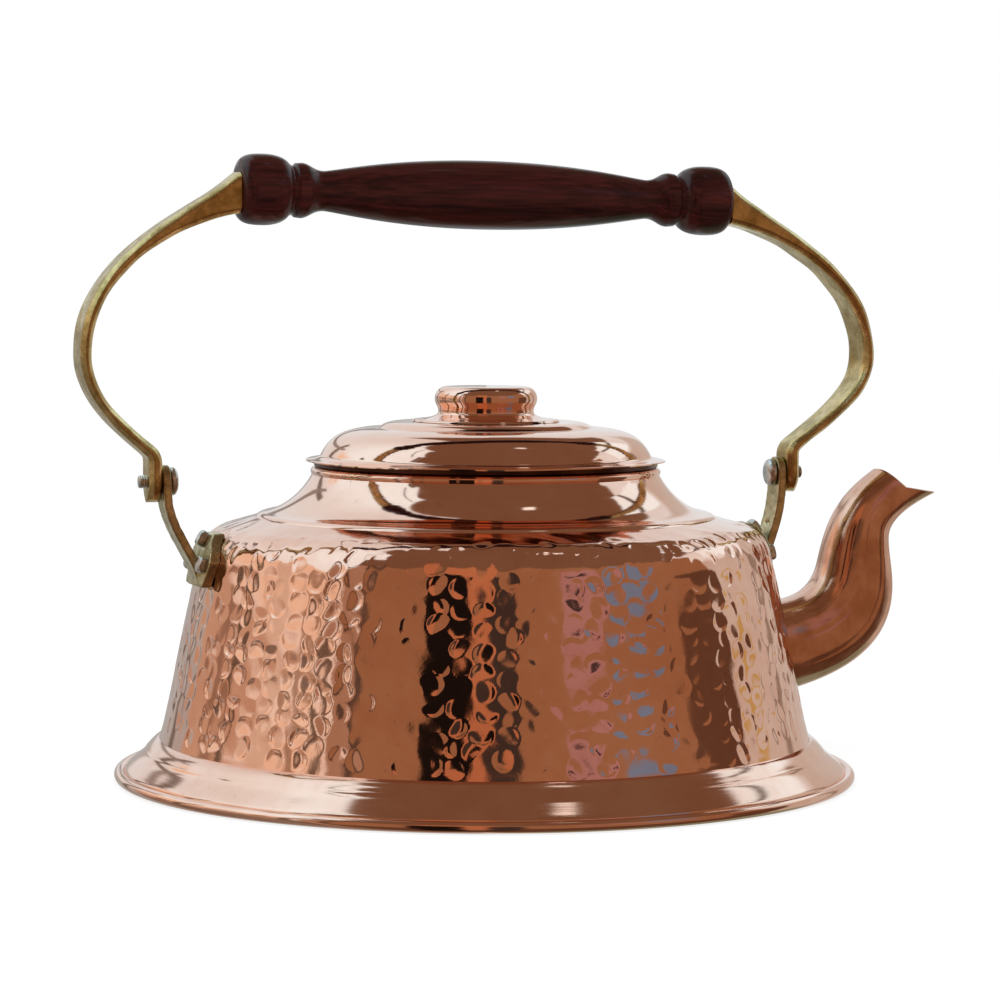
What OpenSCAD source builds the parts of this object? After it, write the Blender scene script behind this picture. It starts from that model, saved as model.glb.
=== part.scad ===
// Hand-hammered copper stove kettle with a curved spout, a lift-off lid and a brass bail with a turned
// wooden grip. The origin is the centre of the flat bottom, +Z is up and the spout points along +X.
// The bail swings about a line parallel to X through both pivot screws.

/* [Body] */
// Diameter over the rolled foot bead
base_d = 230; // [222:1:240]
// How far the foot bead stands out beyond the foot of the hammered wall
flare_w = 14.6; // [12:0.2:17]
// Height at which the hammered wall leaves the flared foot
wall_foot_z = 15; // [13:0.5:18]
// How far the hammered wall leans in from its foot to its top
wall_lean = 11.4; // [9:0.2:13]
// Height at which the wall turns into the shoulder
wall_top_z = 68; // [66:0.5:69]
// Diameter of the raised ring between shoulder and neck
ring_d = 140; // [134:1:146]
// Height of the raised ring
ring_z = 82; // [81:0.2:83]
// Thickness of the copper sheet of the body
sheet_t = 1; // [0.8:0.1:1.3]

/* [Rolled edges] */
// Radius of the rolled foot bead
foot_bead_r = 1.7; // [1.5:0.05:2]
// How far the middle of the rolled neck bead lies inside the edge of the lid's flange
bead_inset = 3; // [2.6:0.1:3.4]
// Height of the middle of the rolled neck bead
neck_bead_z = 95.2; // [94:0.1:96]
// Radius of the rolled neck bead
neck_bead_r = 1.4; // [1.2:0.05:1.5]
// Radius of the steel wire inside the neck bead
rim_wire_r = 0.75; // [0.5:0.05:0.8]

/* [Bottom plate] */
// Thickness of the bottom plate
bottom_t = 1.2; // [0.9:0.1:1.5]
// Width of the rim between the flat that stands on the stove and the outside of the foot bead
bottom_rim_w = 8; // [6.5:0.5:14]
// Height by which the plate's edge is joggled up into the foot bead
joggle_h = 1.25; // [1.25:0.05:1.5]

/* [Spout] */
// Reach of the spout's tip beyond the foot of the wall
spout_reach = 52.1; // [48.5:0.1:56]
// Distance of the spout's inner bend beyond the foot of the wall
elbow_out = 13.2; // [11:0.2:16]
// Height of the spout's inner bend
elbow_z = 64.5; // [61:0.5:67]
// Distance of the spout's outer bend beyond the foot of the wall
throat_out = 37.4; // [34:0.2:40]
// Height of the spout's outer bend
throat_z = 53; // [50:0.5:56]
// Height at which the front of the spout turns out again towards the tip
pinch_z = 71.5; // [69:0.5:74]
// Height of the spout's tip
spout_tip_z = 86; // [84:0.5:88]
// Height of the top corner of the spout's mouth
spout_peak_z = 94; // [92:0.5:96]
// Distance from the top corner of the mouth out to the tip
mouth_run = 20; // [17:0.5:23]
// Height of the upper end of the spout's root on the wall
spout_root_top_z = 51.8; // [50:0.2:53]
// Height of the lower end of the spout's root on the wall
spout_root_low_z = 22.6; // [21.5:0.2:24]
// Half width of the spout at its root
spout_root_w = 14.2; // [13:0.1:15]
// Half width of the spout at its mouth
spout_mouth_w = 8.4; // [7.5:0.1:9.5]
// How far the sides of the mouth dip below its two points
spout_dip = 2.8; // [1.5:0.1:3.5]
// Thickness of the spout's sheet
spout_t = 1; // [0.8:0.1:1.2]
// Width of the solder fillet round the spout's root
solder_w = 1.8; // [1.2:0.1:2.5]
// Radius of the rounded slot in the wall behind the spout
outlet_r = 8; // [6:0.5:9]
// Distance between the centres of the slot's two round ends
outlet_pitch = 8; // [4:0.5:10]

/* [Lid] */
// Diameter of the lid's thin flange
flange_d = 111.8; // [110:0.2:114]
// Width of the flange beyond the foot of the dome
flange_w = 4.5; // [4:0.1:5]
// Height of the lid's flange above its seat on the neck bead
flange_rise = 1.6; // [1.2:0.1:2]
// Height of the flat top of the lid above its flange
dome_h = 12.3; // [11.5:0.1:13]
// Diameter of the raised disc in the middle of the lid
lid_disc_d = 67; // [64:0.5:70]
// Thickness of the lid's sheet
lid_t = 0.9; // [0.7:0.1:1.1]
// Depth of the collar that hangs into the neck
collar_depth = 9; // [7:0.5:11]
// Radial gap between the collar and the neck bead
collar_gap = 0.8; // [0.5:0.1:1.1]

/* [Knob] */
// Diameter of the knob at its widest
knob_d = 31.8; // [30:0.2:34]
// Height of the knob above the lid's flat top
knob_h = 10.8; // [10:0.1:12]
// Diameter of the knob's waist
knob_waist_d = 29.6; // [28:0.2:29.8]
// Diameter of the knob's flared foot
knob_foot_d = 46; // [42:0.5:50]
// Thickness of the knob's sheet
knob_t = 1; // [0.8:0.1:1.1]
// Diameter of the threaded stud in the knob
stud_d = 4; // [3:0.5:5]
// Diameter of the washer under the lid
washer_d = 12; // [10:0.5:14]
// Thickness of the washer under the lid
washer_t = 1; // [0.8:0.1:1.5]
// Width across the flats of the nut under the lid
nut_flats = 7; // [7:0.5:9]
// Height of the nut under the lid
nut_h = 3.2; // [2.4:0.1:3.6]

/* [Lugs] */
// Height of the bail's pivot line above the stove
pivot_z = 93.4; // [92:0.2:95]
// How far the face where lug and arm meet stands out beyond the top of the wall
pivot_out = 12.1; // [11:0.1:14]
// How far both pivots sit towards the rear of the kettle's middle
pivot_back = 2; // [0.5:0.1:2.4]
// How far the lug's foot reaches down below the top of the wall
foot_low = 6.2; // [5.6:0.2:7]
// How far the lug's foot reaches up over the top of the wall
foot_up = 4.5; // [3:0.2:6]
// Width of the lug's tongue on the shoulder
tongue_w = 10; // [9:0.5:12]
// Reach of the tongue inwards from the top of the wall
tongue_in = 4.6; // [4.2:0.1:5.4]
// Height of the tongue's end above the top of the wall
tongue_up = 9.6; // [9.4:0.1:10.4]
// Thickness of the lug's foot on the wall
foot_t = 3; // [2.5:0.1:3.5]
// Width of the lug's foot at its top
foot_top_w = 26; // [25:0.5:30]
// Width of the lug's foot at its lower edge
foot_low_w = 21; // [20:0.5:24]
// Thickness of the lug's post and eye
post_t = 2.6; // [2.3:0.1:2.9]
// Width of the lug's post
post_w = 10; // [8.5:0.5:10]
// Radius of the lug's round eye
eye_r = 5; // [5:0.1:5.6]
// Half angle between the two wall rivets of a lug, seen from above
rivet_angle = 5; // [4.8:0.1:5.4]
// How far the two wall rivets lie below the top of the wall
rivet_drop = 0.2; // [0.1:0.1:0.8]
// Height of the tongue's rivet above the top of the wall
rivet_rise = 5.8; // [5.6:0.1:6.2]
// Radius of a rivet's shank
rivet_r = 1.6; // [1.2:0.1:1.9]
// Width of a rivet's square head
rivet_head = 4.8; // [4:0.1:5]
// Height of a rivet's square head
rivet_head_h = 2.2; // [1.6:0.1:2.6]
// Radius of the washer behind each rivet
rove_r = 3.2; // [2.8:0.1:3.6]
// Thickness of the washer behind each rivet
rove_t = 0.8; // [0.6:0.1:1.2]

/* [Bail] */
// Height of the grip's middle above the pivot line
grip_rise = 87; // [84:0.2:90]
// Half length of the wooden grip
grip_half = 79.2; // [76:0.2:82]
// Lean of the grip, in degrees, its front end lower
grip_lean = 0.8; // [0:0.1:1.2]
// How far an arm's centre line bows out beyond the face where lug and arm meet
arm_reach = 25.6; // [23:0.1:28]
// Height of the arm's furthest reach above the pivot line
arm_belly_z = 37.6; // [35:0.2:40]
// Thickness of the brass arm along its length
arm_t = 3.4; // [3:0.1:4]
// Extra thickness of the arm where it meets the grip
arm_root_t = 9.4; // [7:0.1:10]
// Width of the arm at its belly
arm_w = 15.4; // [13:0.2:17]
// Width of the arm where it meets the grip
arm_root_w = 12.6; // [11:0.2:14]
// Radius of the round lower end of the arm
tab_r = 6.2; // [5.6:0.1:6.8]
// Radius of the tang in the wood
tang_r = 3; // [2.5:0.1:3.4]
// Length of the tang in the wood
tang_len = 26; // [18:1:34]

/* [Grip] */
// Radius of the grip at its middle
grip_r = 10.6; // [9.5:0.1:11]
// Radius of the two necks of the grip
grip_neck_r = 6.1; // [5.6:0.1:7]
// Radius of the collar beside each knob
grip_collar_r = 8.4; // [7.8:0.1:9]
// Radius of the two end knobs
grip_knob_r = 10.8; // [10:0.1:11]
// Radius of the grip's end faces
grip_end_r = 6.4; // [6:0.1:7]

/* [Pivot screws] */
// Radius of the pivot screw's shank
screw_r = 2; // [1.6:0.1:2.2]
// Radius of the pivot screw's round head
screw_head_r = 4.3; // [4:0.1:4.8]
// Thickness of the pivot screw's head
screw_head_h = 2.4; // [1.8:0.1:2.6]
// Length of the screw's end that stands out of the arm
screw_stub = 2.4; // [1.5:0.1:3.5]

/* [Clearances] */
// Radial running clearance of the pivot screw in the lug's eye
pivot_clearance = 0.06; // [0.03:0.01:0.1]
// Side gap between lug and arm, and between lug and screw head
side_gap = 0.2; // [0.15:0.05:0.4]
// Gap between the lid's collar and the bead that it rests on
seat_gap = 0.1; // [0.05:0.05:0.3]
// Gap left for solder, glue and paint between pieces that are fixed together
fit_gap = 0.03; // [0.02:0.01:0.05]
// Gap between the wall and the curved roves inside it
rove_gap = 0.08; // [0.05:0.01:0.15]
// Gap between the roves and the rivets' closed tails
tail_gap = 0.5; // [0.4:0.05:0.8]

/* [Hidden] */

REAR = -1;
FRONT = 1;
FAR = 400;
round_fn = 180;
small_fn = 48;
curve_steps = 8;

copper = "#C97F5E";
brass = "#B39A4A";
tin = "#A7A39B";
steel = "#8E8F92";
mahogany = "#3A1110";

// ---- curves -------------------------------------------------------------------------------------

// Point of a cubic Bezier curve with the four control points of k at t
function bez_at(k, t) =
    k[0] * pow(1 - t, 3) + 3 * k[1] * t * pow(1 - t, 2) + 3 * k[2] * t * t * (1 - t) + k[3] * pow(t, 3);

// The curve of k as n + 1 points, or as n points without the first one
function bez(k, n, first = 0) = [for (i = [first:n]) bez_at(k, i / n)];

// A path of [r, z] points moved by d to the left of its direction of travel
function shifted(path, d) = [
    for (i = [0:len(path) - 1])
        let (a = path[max(i - 1, 0)], b = path[min(i + 1, len(path) - 1)], t = (b - a) / norm(b - a))
            path[i] + d * [-t[1], t[0]]
];

function backwards(path) = [for (i = [len(path) - 1:-1:0]) path[i]];

// Outline of a strip: the path on one side, the path moved by d on the other
function strip(path, d) = concat(path, backwards(shifted(path, d)));

// Outline of a ribbon centred on the path, with one thickness for each point
function ribbon(path, t) =
    let (side = [
        for (i = [0:len(path) - 1])
            let (a = path[max(i - 1, 0)], b = path[min(i + 1, len(path) - 1)], u = (b - a) / norm(b - a))
                t[i] / 2 * [-u[1], u[0]]
    ])
    concat([for (i = [0:len(path) - 1]) path[i] + side[i]],
           [for (i = [len(path) - 1:-1:0]) path[i] - side[i]]);

// Running length along a path up to point i
function run(path, i) = i == 0 ? 0 : norm(path[i] - path[i - 1]) + run(path, i - 1);

// ---- outline of the body, outside, from the foot bead up to the neck bead -------------------------

base_r = base_d / 2;
wall_foot_r = base_r - flare_w;
wall_top_r = wall_foot_r - wall_lean;
ring_r = ring_d / 2;
flange_r = flange_d / 2;
foot_bead_c = [base_r - foot_bead_r, foot_bead_r + 0.1];
neck_bead_c = [flange_r - bead_inset, neck_bead_z];
flare = [
    foot_bead_c + [0, foot_bead_r - fit_gap],
    foot_bead_c + [-2.5, 6],
    [wall_foot_r + 3.1, wall_foot_z - 5.5],
    [wall_foot_r, wall_foot_z]
];
wall = [
    [wall_foot_r, wall_foot_z],
    [wall_foot_r - 3.4, wall_foot_z + 13],
    [wall_top_r + 4.5, wall_top_z - 18],
    [wall_top_r, wall_top_z]
];
shoulder_edge = [wall_top_r - 9.5, wall_top_z + 10.9];
shoulder = [
    [wall_top_r, wall_top_z],
    [wall_top_r - 0.8, wall_top_z + 4.2],
    [wall_top_r - 2.1, wall_top_z + 9.2],
    shoulder_edge
];
ring_foot = [ring_r + 1.4, ring_z - 0.8];
ring_top = [ring_r + 0.6, ring_z + 0.1];
ring_in = [ring_r - 0.9, ring_z + 0.5];
neck = [
    ring_in,
    [ring_in[0] - 5.1, ring_in[1] + 1.5],
    [neck_bead_c[0] + 5.6, neck_bead_c[1] - 6.7],
    neck_bead_c + [1, -0.9]
];
body_path = concat(
    bez(flare, curve_steps), bez(wall, curve_steps, 1), bez(shoulder, curve_steps + 2, 1),
    [ring_foot, ring_top], bez(neck, curve_steps)
);
wall_path = [for (p = body_path) if (p[1] > foot_bead_c[1] + foot_bead_r + 1 && p[1] < ring_foot[1]) p];

// Radius of the outside of the wall and shoulder at height z
function wall_r(z) = lookup(z, [for (p = wall_path) [p[1], p[0]]]);

// Steepness of the wall's outward normal above the horizontal at height z, in degrees
function wall_tilt(z) = atan2(wall_r(z - 0.5) - wall_r(z + 0.5), 1);

module ring_tube(c, r) { rotate_extrude($fn = round_fn) translate(c) circle(r, $fn = small_fn); }

hem_t = 0.9;
hem_slot_r = foot_bead_c[0] - foot_bead_r - 2;
plate_edge_z = [joggle_h, joggle_h + bottom_t - 0.2];

module body_shell() {
    color(copper) difference() {
        union() {
            rotate_extrude($fn = round_fn) polygon(strip(body_path, sheet_t));
            ring_tube(foot_bead_c, foot_bead_r);
            ring_tube(neck_bead_c, neck_bead_r);
        }
        ring_tube(neck_bead_c, rim_wire_r + fit_gap);
        ring_tube(foot_bead_c, foot_bead_r - hem_t);
        hem_slot();
        spout_outlet();
        for (side = [REAR, FRONT]) lug_places(side) rotate([0, 90, 0])
            cylinder(r = rivet_r + fit_gap, h = 4 * sheet_t, center = true, $fn = small_fn);
    }
}

// Slot on the inner side of the foot bead that grips the bottom plate's edge
module hem_slot() {
    translate([0, 0, plate_edge_z[0] - fit_gap]) difference() {
        cylinder(r = foot_bead_c[0] + fit_gap, h = plate_edge_z[1] - plate_edge_z[0] + 2 * fit_gap, $fn = round_fn);
        translate([0, 0, -1]) cylinder(r = hem_slot_r, h = 2 * bottom_t + 2, $fn = round_fn);
    }
}

module neck_rim_wire() { color(steel) ring_tube(neck_bead_c, rim_wire_r); }

joggle_run = 1.4;
module bottom_plate() {
    flat_r = base_r - bottom_rim_w;
    color(copper) rotate_extrude($fn = round_fn) polygon([
        [0, 0], [flat_r, 0], [flat_r + joggle_run, plate_edge_z[0]], [foot_bead_c[0], plate_edge_z[0]],
        [foot_bead_c[0], plate_edge_z[1]], [flat_r + joggle_run - 0.6, plate_edge_z[1]], [flat_r - 0.6, bottom_t],
        [0, bottom_t]
    ]);
}

// ---- spout --------------------------------------------------------------------------------------

ring_count = 32;
ring_sides = 32;
elbow_u = 0.42;
front_u = [0.5, 0.72];
root_mid_z = (spout_root_top_z + spout_root_low_z) / 2;
root_half = (spout_root_top_z - spout_root_low_z) / 2;
tip = [wall_foot_r + spout_reach, spout_tip_z];
peak = [tip[0] - mouth_run, spout_peak_z];
elbow = [wall_foot_r + elbow_out, elbow_z];
throat = [wall_foot_r + throat_out, throat_z];
pinch = [throat[0] - 1.2, pinch_z];
root_top = [wall_r(spout_root_top_z), spout_root_top_z];
root_low = [wall_r(spout_root_low_z), spout_root_low_z];
back_low = [root_top, root_top + [10.7, 0.4], elbow + [-2.1, -10], elbow];
back_high = [elbow, elbow + [2, 10], peak + [-13.5, -9], peak];
front_low = [root_low, root_low + [13.6, 2.9], throat + [-1.3, -22], throat];
front_mid = [throat, throat + [0.5, 8], pinch + [-0.4, -5.5], pinch];
front_high = [pinch, pinch + [0.6, 7], tip + [-8.5, -3.5], tip];

// Outline of the spout in its middle plane: its back, and its front below the passage
function back_at(u) = u < elbow_u ? bez_at(back_low, u / elbow_u) : bez_at(back_high, (u - elbow_u) / (1 - elbow_u));
function front_at(u) =
    u < front_u[0] ? bez_at(front_low, u / front_u[0])
    : u < front_u[1] ? bez_at(front_mid, (u - front_u[0]) / (front_u[1] - front_u[0]))
    : bez_at(front_high, (u - front_u[1]) / (1 - front_u[1]));
function width_at(u) = spout_root_w + (spout_mouth_w - spout_root_w) * u;
function late(u) = u < 0.65 ? 0 : pow((u - 0.65) / 0.35, 2);

// Point of the spout's ring u at angle a; inset is the distance inside its outer face
function spout_point(u, a, inset) =
    let (b = back_at(u), f = front_at(u), d = (f - b) / norm(f - b), mid = (b + f) / 2,
         half = norm(f - b) / 2 - inset, w = width_at(u) - inset,
         beak = 1 - 0.45 * late(u) * (1 - cos(a)) / 2,
         p = mid - half * cos(a) * d + spout_dip * late(u) * pow(sin(a), 2) * [d[1], -d[0]])
    [p[0], w * sin(a) * beak, p[1]];

// Point of the root's outline on the wall; grow widens the outline along the wall
function root_point(a, grow) =
    let (z = root_mid_z + (root_half + grow) * cos(a), y = (spout_root_w + grow) * sin(a))
    [sqrt(pow(wall_r(z) + fit_gap, 2) - y * y), y, z];

function ring(i, inset) = [
    for (j = [0:ring_sides - 1]) let (a = 360 * j / ring_sides)
        i == 0 ? root_point(a, -inset) : spout_point(i / ring_count, a, inset)
];

function quad(a, b, c, d) = [[a, b, c], [a, c, d]];

module spout() {
    n = ring_sides;
    skins = concat([for (i = [0:ring_count]) each ring(i, 0)], [for (i = [0:ring_count]) each ring(i, spout_t)]);
    inner = (ring_count + 1) * n;
    outside = [for (i = [0:ring_count - 1], j = [0:n - 1]) let (k = (j + 1) % n)
        each quad(i * n + j, i * n + k, (i + 1) * n + k, (i + 1) * n + j)];
    inside = [for (i = [0:ring_count - 1], j = [0:n - 1]) let (k = (j + 1) % n)
        each quad(inner + i * n + k, inner + i * n + j, inner + (i + 1) * n + j, inner + (i + 1) * n + k)];
    last = ring_count * n;
    rims = [for (j = [0:n - 1]) let (k = (j + 1) % n) each concat(
        quad(k, j, inner + j, inner + k),
        quad(last + j, last + k, inner + last + k, inner + last + j))];
    color(copper) polyhedron(points = skins, faces = concat(outside, inside, rims), convexity = 6);
}

module spout_solder() {
    n = ring_sides;
    rings = [for (j = [0:n - 1]) let (
            a = 360 * j / n, corner = root_point(a, fit_gap), up = ring(2, 0)[j] - ring(0, 0)[j],
            out = [0, sin(a), cos(a)])
        each [corner, root_point(a, solder_w), corner + solder_w * up / norm(up) + fit_gap * out]];
    sides = [for (j = [0:n - 1], s = [0:2]) let (k = (j + 1) % n, t = (s + 1) % 3)
        each quad(3 * j + s, 3 * j + t, 3 * k + t, 3 * k + s)];
    color(tin) polyhedron(points = rings, faces = sides, convexity = 4);
}

outlet_cut = 30 * sheet_t;
module spout_outlet() {
    for (end = [-1, 1]) translate([wall_r(root_mid_z), 0, root_mid_z + end * outlet_pitch / 2]) rotate([0, 90, 0])
        cylinder(r = outlet_r, h = outlet_cut, center = true, $fn = small_fn);
    translate([wall_r(root_mid_z), 0, root_mid_z]) cube([outlet_cut, 2 * outlet_r, outlet_pitch], center = true);
}

// ---- lugs ---------------------------------------------------------------------------------------

function pivot_half(side) = wall_top_r + pivot_out - side * pivot_back;
foot_z = [wall_top_z - foot_low, wall_top_z + foot_up];
wall_rivet_z = wall_top_z - rivet_drop;
edge_rivet_z = wall_top_z + rivet_rise;
post_z = foot_z[0] + 3.4;
post_low = [wall_r(post_z) + foot_t - 0.6, post_z];
function post_path(side) = let (x = pivot_half(side) - post_t / 2) concat(
    bez([post_low, post_low + [1.6, 6.8], [x, pivot_z - 13.4], [x, pivot_z - 3.4]], curve_steps),
    [[x, pivot_z + eye_r + 1]]
);

// Puts its children at the three rivets of a lug, +X pointing out of the wall
module lug_places(side) {
    turn = side == REAR ? 180 : 0;
    for (end = [-1, 1]) rotate([0, 0, turn + end * rivet_angle]) translate([wall_r(wall_rivet_z), 0, wall_rivet_z])
        rotate([0, -wall_tilt(wall_rivet_z), 0]) children();
    rotate([0, 0, turn]) translate([wall_r(edge_rivet_z), 0, edge_rivet_z])
        rotate([0, -wall_tilt(edge_rivet_z), 0]) children();
}

// Flat outline in the plane across X, made thick along X from x0 to x1
module across_x(x0, x1) { translate([x0, 0, 0]) rotate([90, 0, 90]) linear_extrude(x1 - x0) children(); }

// Flat outline in the plane of X and Z, made thick along Y by w to both sides
module along_xz(w) { rotate([90, 0, 0]) linear_extrude(2 * w, center = true) children(); }

module lug_foot() {
    seat = [for (p = shifted(wall_path, -fit_gap)) if (p[1] > foot_z[0] - 6) p];
    intersection() {
        rotate_extrude($fn = round_fn) polygon(strip(seat, -foot_t));
        across_x(wall_top_r - tongue_in, FAR)
            polygon([[-foot_low_w / 2, foot_z[0]], [foot_low_w / 2, foot_z[0]], [foot_top_w / 2, foot_z[1] - 3],
                     [foot_top_w / 2 - 1.5, foot_z[1]], [tongue_w / 2, wall_top_z + tongue_up],
                     [-tongue_w / 2, wall_top_z + tongue_up], [-foot_top_w / 2 + 1.5, foot_z[1]],
                     [-foot_top_w / 2, foot_z[1] - 3]]);
    }
}

module lug_post(side) {
    path = post_path(side);
    intersection() {
        along_xz(foot_top_w) polygon(ribbon(path, [for (p = path) post_t]));
        across_x(0, FAR) union() {
            translate([-post_w / 2, foot_z[0]]) square([post_w, pivot_z - foot_z[0]]);
            translate([0, pivot_z]) circle(eye_r, $fn = small_fn);
        }
    }
}

module lug(side) {
    color(brass) difference() {
        rotate([0, 0, side == REAR ? 180 : 0]) difference() {
            union() {
                lug_foot();
                lug_post(side);
            }
            translate([pivot_half(side) - 2 * post_t, 0, pivot_z]) rotate([0, 90, 0])
                cylinder(r = screw_r + pivot_clearance, h = 4 * post_t, $fn = small_fn);
        }
        lug_places(side) rotate([0, 90, 0])
            cylinder(r = rivet_r + fit_gap, h = 6 * foot_t, center = true, $fn = small_fn);
        lug_places(side) translate([foot_t + 2 * fit_gap, -rivet_head / 2 - fit_gap, -rivet_head / 2 - fit_gap])
            cube([rivet_head_h + 0.4, rivet_head + 2 * fit_gap, rivet_head + 2 * fit_gap]);
    }
}

module lug_rivets(side) {
    tail = sheet_t + rove_t + 2 * fit_gap + tail_gap;
    color(tin) lug_places(side) {
        translate([foot_t + 3 * fit_gap, -rivet_head / 2, -rivet_head / 2]) cube([rivet_head_h, rivet_head, rivet_head]);
        translate([-tail - 0.6, 0, 0]) rotate([0, 90, 0])
            cylinder(r = rivet_r, h = tail + 0.6 + foot_t + 4 * fit_gap, $fn = small_fn);
        translate([-tail - 1, 0, 0]) rotate([0, 90, 0]) cylinder(r = rivet_r + 0.8, h = 1, $fn = small_fn);
    }
}

module lug_roves(side) {
    seat = [for (p = shifted(wall_path, sheet_t + rove_gap)) if (p[1] > foot_z[0] - 6) p];
    color(copper) intersection() {
        rotate_extrude($fn = round_fn) polygon(strip(seat, rove_t));
        lug_places(side) rotate([0, 90, 0]) difference() {
            cylinder(r = rove_r, h = 8 * sheet_t, center = true, $fn = small_fn);
            cylinder(r = rivet_r + fit_gap, h = 10 * sheet_t, center = true, $fn = small_fn);
        }
    }
}

// ---- bail ---------------------------------------------------------------------------------------

tab_t = 4.2;
function tab_x(side) = pivot_half(side) + side_gap + tab_t / 2;
grip_z = pivot_z + grip_rise;
belly = [wall_top_r + pivot_out + arm_reach, pivot_z + arm_belly_z];
function knee(side) = [tab_x(side) + 1.8, pivot_z + 9.4];
arm_top = [grip_half - 6, grip_z + 0.6];
arm_upper = [arm_top, [grip_half + 17.5, grip_z - 8.6], [belly[0], grip_z - 21.9], belly];
function arm_lower(side) = [belly, belly - [0, 12], knee(side) + [10, 8], knee(side)];
function arm_bend(side) = [knee(side), knee(side) + [-1.1, -0.9], [tab_x(side), pivot_z + 7.6],
                           [tab_x(side), pivot_z + 5.4]];
arm_steps = 14;
function arm_path(side) = concat(bez(arm_upper, arm_steps), bez(arm_lower(side), arm_steps, 1),
                                 bez(arm_bend(side), 6, 1), [[tab_x(side), pivot_z - tab_r - 1]]);

// The arm's path with the grip's lean shared out along its height; lean is negative for the higher arm
function leaned(path, lean) = [
    for (p = path) [p[0], p[1] - tan(lean) * p[0] * max(0, (p[1] - pivot_z) / (grip_z - pivot_z))]
];
function arm_thickness(path) = [
    for (i = [0:len(path) - 1])
        let (low = max(0, 1 - max(0, path[i][1] - pivot_z) / 12))
            arm_t + arm_root_t * exp(-max(0, run(path, i) - 4) / 14) + (tab_t - arm_t) * min(1, 2 * low)
];

module arm_outline() {
    half = arm_w / 2;
    root = arm_root_w / 2;
    union() {
        polygon([
            [-tab_r, pivot_z], [-tab_r, pivot_z + 8], [-half, belly[1] - 12], [-half, belly[1] + 18],
            [-root, grip_z - 8], [-root, grip_z + 20], [root, grip_z + 20], [root, grip_z - 8],
            [half, belly[1] + 18], [half, belly[1] - 12], [tab_r, pivot_z + 8], [tab_r, pivot_z]
        ]);
        translate([0, pivot_z]) circle(tab_r, $fn = small_fn);
    }
}

module arm(side) {
    lean = side * grip_lean;
    path = leaned(arm_path(side), lean);
    color(brass) scale_x(side) difference() {
        union() {
            intersection() {
                along_xz(arm_w) polygon(ribbon(path, arm_thickness(path)));
                across_x(0, FAR) arm_outline();
                on_grip(lean) translate([grip_half + fit_gap, -FAR / 2, -FAR]) cube([FAR, FAR, 2 * FAR]);
            }
            on_grip(lean) translate([grip_half - tang_len, 0, 0]) rotate([0, 90, 0])
                cylinder(r = tang_r, h = tang_len + 3, $fn = small_fn);
        }
        translate([pivot_half(side), 0, pivot_z]) rotate([0, 90, 0])
            cylinder(r = screw_r + fit_gap, h = 3 * tab_t, $fn = small_fn);
    }
}

// Mirrors its children to the rear side
module scale_x(side) {
    if (side == REAR) mirror([1, 0, 0]) children();
    else children();
}

// Frame of the grip: its axis is local X, its middle the origin
module on_grip(lean) { translate([0, 0, grip_z]) rotate([0, lean, 0]) children(); }

knob_mid = grip_half - 7.4;
knob_in = grip_half - 15.6;
collar_at = grip_half - 18.8;
neck_at = grip_half - 27.4;
groove_r = grip_collar_r - 0.8;

// Half of the turned outline, from the middle out to the end face, as [distance, radius]
grip_side = concat(
    bez([[0, grip_r], [neck_at * 0.55, grip_r], [neck_at * 0.86, grip_neck_r + 0.9], [neck_at, grip_neck_r]],
        curve_steps + 4),
    bez([[neck_at, grip_neck_r], [neck_at + 4, grip_neck_r - 0.2], [collar_at - 3.5, grip_collar_r],
         [collar_at - 0.8, grip_collar_r]], curve_steps, 1),
    [[collar_at + 0.8, grip_collar_r - 0.1], [collar_at + 1.6, groove_r], [knob_in - 0.6, groove_r]],
    bez([[knob_in, groove_r + 0.5], [knob_in + 2, grip_knob_r + 0.1], [knob_mid - 1, grip_knob_r],
         [knob_mid, grip_knob_r]], curve_steps),
    bez([[knob_mid, grip_knob_r], [knob_mid + 4.4, grip_knob_r], [grip_half, grip_knob_r - 0.6],
         [grip_half, grip_end_r]], curve_steps, 1)
);

module grip() {
    outline = concat([for (p = backwards(grip_side)) if (p[0] > 0) [p[1], -p[0]]], [for (p = grip_side) [p[1], p[0]]]);
    color(mahogany) on_grip(grip_lean) rotate([0, 90, 0]) difference() {
        rotate_extrude($fn = round_fn) polygon(concat([[0, -grip_half]], outline, [[0, grip_half]]));
        for (end = [-1, 1]) translate([0, 0, end * grip_half])
            cylinder(r = tang_r + fit_gap, h = 2 * tang_len + 2, center = true, $fn = small_fn);
    }
}

module pivot_screw(side) {
    head_x = pivot_half(side) - post_t - side_gap - screw_head_h;
    end_x = pivot_half(side) + side_gap + tab_t + screw_stub;
    color(tin) rotate([0, 0, side == REAR ? 180 : 0]) translate([0, 0, pivot_z]) rotate([0, 90, 0]) {
        translate([0, 0, head_x]) cylinder(r = screw_head_r, h = screw_head_h, $fn = small_fn);
        translate([0, 0, head_x]) cylinder(r = screw_r, h = end_x - head_x, $fn = small_fn);
    }
}

// ---- lid ----------------------------------------------------------------------------------------

seat_z = neck_bead_z + neck_bead_r + seat_gap;
flange_z = seat_z + flange_rise;
dome_r = flange_r - flange_w;
top_z = flange_z + dome_h;
disc_r = lid_disc_d / 2;
disc_step = 1.8;
dome_curve = [[disc_r + 1.2, top_z - disc_step], [disc_r + 10, top_z - disc_step - 1.2],
              [dome_r - 2.7, top_z - disc_step - 3.8], [dome_r, flange_z + 1.6]];
disc_edge = [[disc_r, top_z - disc_step - 0.1], [disc_r - 1.5, top_z - disc_step / 2], [disc_r - 3, top_z],
             [disc_r - 6, top_z]];
lid_path = concat(
    [[flange_r, flange_z + 0.5], [dome_r + 1.4, flange_z + 1]], backwards(bez(dome_curve, curve_steps + 2)),
    bez(disc_edge, curve_steps), [[stud_d / 2 + fit_gap, top_z]]
);

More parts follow.
